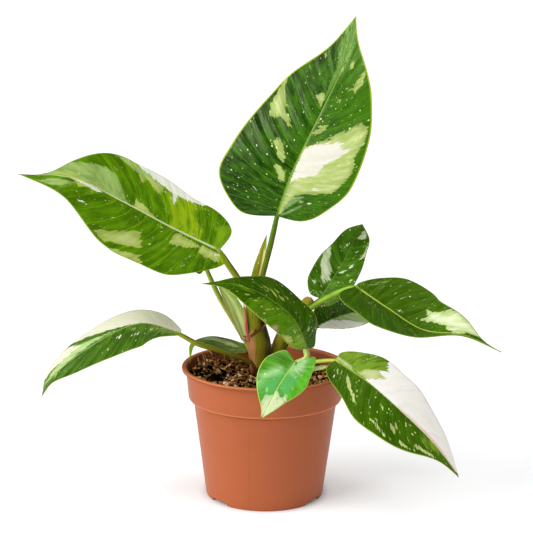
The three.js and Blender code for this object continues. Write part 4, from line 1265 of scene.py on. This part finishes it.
# Each stalk: its route from the stem in millimetres, its radius, how much wider its foot is, and its
# colours at the foot and at the blade.
STALKS = {
    "top": ([[-8, 2, 138], [-5, 2, 149], [-0.5, 2, 168], [4, 3, 187]], 2.1, 1.3,
            (104, 100, 14), (70, 106, 14)),
    "upper_left": ([[-9, 0, 134], [-13, -2, 145], [-19, -4, 157], [-26, -6, 168]], 2.5, 1.5,
                   (150, 148, 30), (158, 172, 36)),
    "left_hidden": ([[-8, 2, 97], [-13, 2, 109], [-22, 4, 124], [-34, 6, 144]], 1.9, 1.5,
                    (176, 140, 84), (150, 176, 56)),
    "centre_front": ([[4, -7, 84], [11, -20, 95], [21, -32, 105], [28.5, -35.5, 110]], 2.3, 1.3,
                     (120, 140, 60), (176, 198, 104)),
    "right_upper": ([[24, 9, 129], [31, 12.5, 134.5]], 1.7, 1.2, (112, 134, 30), (128, 160, 46)),
    "right_long": ([[17, 7, 124], [27, 5, 132], [39, 3, 141], [51, -2, 149]], 2.1, 1.3,
                   (128, 156, 30), (126, 166, 46)),
    "right_behind": ([[9, 13, 84], [13, 15, 102], [23, 16, 114]], 1.6, 1.4,
                     (118, 120, 34), (102, 128, 36)),
    "right_low": ([[13, -8, 84], [24, -26, 101.5], [35, -35.5, 107.5]], 1.5, 1.4,
                  (128, 142, 46), (166, 188, 70)),
    "front_small": ([[-2, -10, 84], [3, -29, 98], [11, -47, 108]], 1.4, 1.5,
                    (118, 130, 44), (126, 176, 70)),
    "left_low": ([[-4, -2, 92], [-14, -5, 99.5], [-35, -10, 108.5], [-48, -15, 114]], 1.9, 1.9,
                 (92, 78, 14), (158, 166, 40)),
    "left_small": ([[-3, 6, 88], [-8, 13, 94]], 1.3, 1.3, (132, 44, 40), (150, 66, 52)),
}
STALK_STEPS = 72
STALK_SIDES = 20
STALK_CHANNEL = 0.16
STALK_UNEVENNESS = 0.25
STALK_RIM = (150, 96, 60)
# Where a stalk runs under its blade: the station on the midrib, how many radii below it, and how thick
NECK = ((0, 0.75, 0.85), (0.05, 0.55, 0.4))

for leaf_name, (route, radius, foot, foot_colour, neck_colour) in STALKS.items():
    name = f"{leaf_name}_stalk"
    radii = [radius * foot, *[radius] * (len(route) - 1)]
    for station, sink, share in NECK:
        place = on_blade(LEAVES[leaf_name], np.float64(station), np.float64(0), -sink * radius)
        route = [*route, place]
        radii.append(share * radius)
    # Painted light and shade: a lighter copy of the colour at the blade for the left side, a darker one
    # for the right side and the streaks
    lit = tuple(min(1.1 * part + 8, 255) for part in neck_colour)
    shaded = shade(neck_colour, 0.66)
    colours = (foot_colour, neck_colour, lit, shaded, shaded, STALK_RIM)
    finish = skin_finish(f"stalk {leaf_name}", *colours)
    shape = (STALK_STEPS, STALK_SIDES, STALK_CHANNEL, STALK_UNEVENNESS)
    seat(name, tube_along(name, route, radii, finish, *shape), "stalk", f"stalk_{leaf_name}")


# Sheaths: thin pointed scales that wrapped the new leaves and stay behind on the stem, folded into a
# channel: an olive one with a pink keel beside the top stalk, a wide milky one at the left, a magenta
# strip down the stem, and a pale one under the low right stalk.
SHEATHS = {
    "top": dict(
        midrib=[[-8, 5, 146], [-6, 6, 157], [-4, 6, 168], [-2, 6, 179], [0, 5, 189]],
        face=[[-0.3, -1, 0], [-0.3, -1, 0]], fold=[20, 20], left=[0, 2, 4, 5, 4.5, 3, 1.5],
        right=[0, 2, 4, 5, 4.5, 3, 1.5], veins=3, quilt=0.05, dark=(132, 142, 20),
        mid=(160, 164, 40), blush=(210, 128, 100), ivory=(214, 212, 140), rib_colour=(190, 156, 84),
        edge=(150, 140, 48),
        marks={
            "ivory": "8,-4 8,60 30,84 104,80 104,-4",
            "blush": "-2,4 2,80 10,100 26,96 20,40 14,-4",
        },
    ),
    "left": dict(
        midrib=[[-15.5, -1, 114], [-18, -1, 124], [-22.5, 0, 135], [-28.5, 1, 146], [-35, 2, 155]],
        face=[[0.3, -1, 0.3], [0.3, -1, 0.3]], fold=[16, 16], left=[0, 2, 3, 4, 5, 4.5, 2.5],
        right=[0, 2, 3.5, 5.5, 6.5, 5.5, 3], veins=3, quilt=0.05, dark=(168, 200, 84),
        mid=(196, 218, 116), clear=1.5, pale=(206, 226, 140), ivory=(176, 136, 84), blush=(178, 122, 84),
        rib_colour=(196, 208, 140), edge=(186, 150, 96),
        marks={
            "pale": "-64,-4 -64,104 60,104 60,-4",
            "ivory": "-104,-4 -104,92 -84,80 -72,-4",
            "blush": "50,-4 104,-4 104,26",
        },
    ),
    "stem": dict(
        midrib=[[-12.6, -4.6, 113], [-13.4, -4.9, 120], [-14.2, -5, 127],
                [-15, -4.7, 134], [-15.8, -4.2, 141]],
        face=[[-0.8, -0.8, 0.1], [-0.8, -0.8, 0.1]], fold=[-10, -10], left=[0, 1, 1.6, 2, 2, 1.6, 1],
        right=[0, 1, 1.1, 1.3, 1.3, 1.1, 0.8], veins=2, quilt=0.02, dark=(164, 34, 60),
        mid=(194, 62, 88), clear=1.5, ivory=(196, 136, 100), rib_colour=(208, 92, 116),
        edge=(180, 120, 84),
        marks={
            "ivory": "-104,-4 -70,6 -10,40 30,104 -104,104",
        },
    ),
    "right_low": dict(
        midrib=[[19, -14, 89], [26, -22, 96], [33, -30, 101], [39, -36, 104], [44, -40, 106]],
        face=[[0.2, -0.8, 0.6], [0.2, -0.8, 0.6]], fold=[-15, -15], left=[0, 1, 1.6, 2, 2, 2, 1.5],
        right=[0, 1, 1.6, 2, 2, 2, 1.5], veins=2, quilt=0.02, dark=(150, 176, 60),
        mid=(188, 204, 110), pale=(216, 224, 168), rib_colour=(200, 214, 130),
        marks={
            "pale": "-60,20 60,20 60,96 -60,96",
        },
    ),
}

for number, (sheath_name, leaf) in enumerate(SHEATHS.items(), len(LEAVES)):
    leaf = {**USUAL_LEAF, **leaf, "lengthwise": True}
    name = f"{sheath_name}_sheath"
    sheath = blade_mesh(name, leaf, number, blade_finish(f"sheath {sheath_name}", leaf))
    seat(name, sheath, "sheath", f"sheath_{sheath_name}")
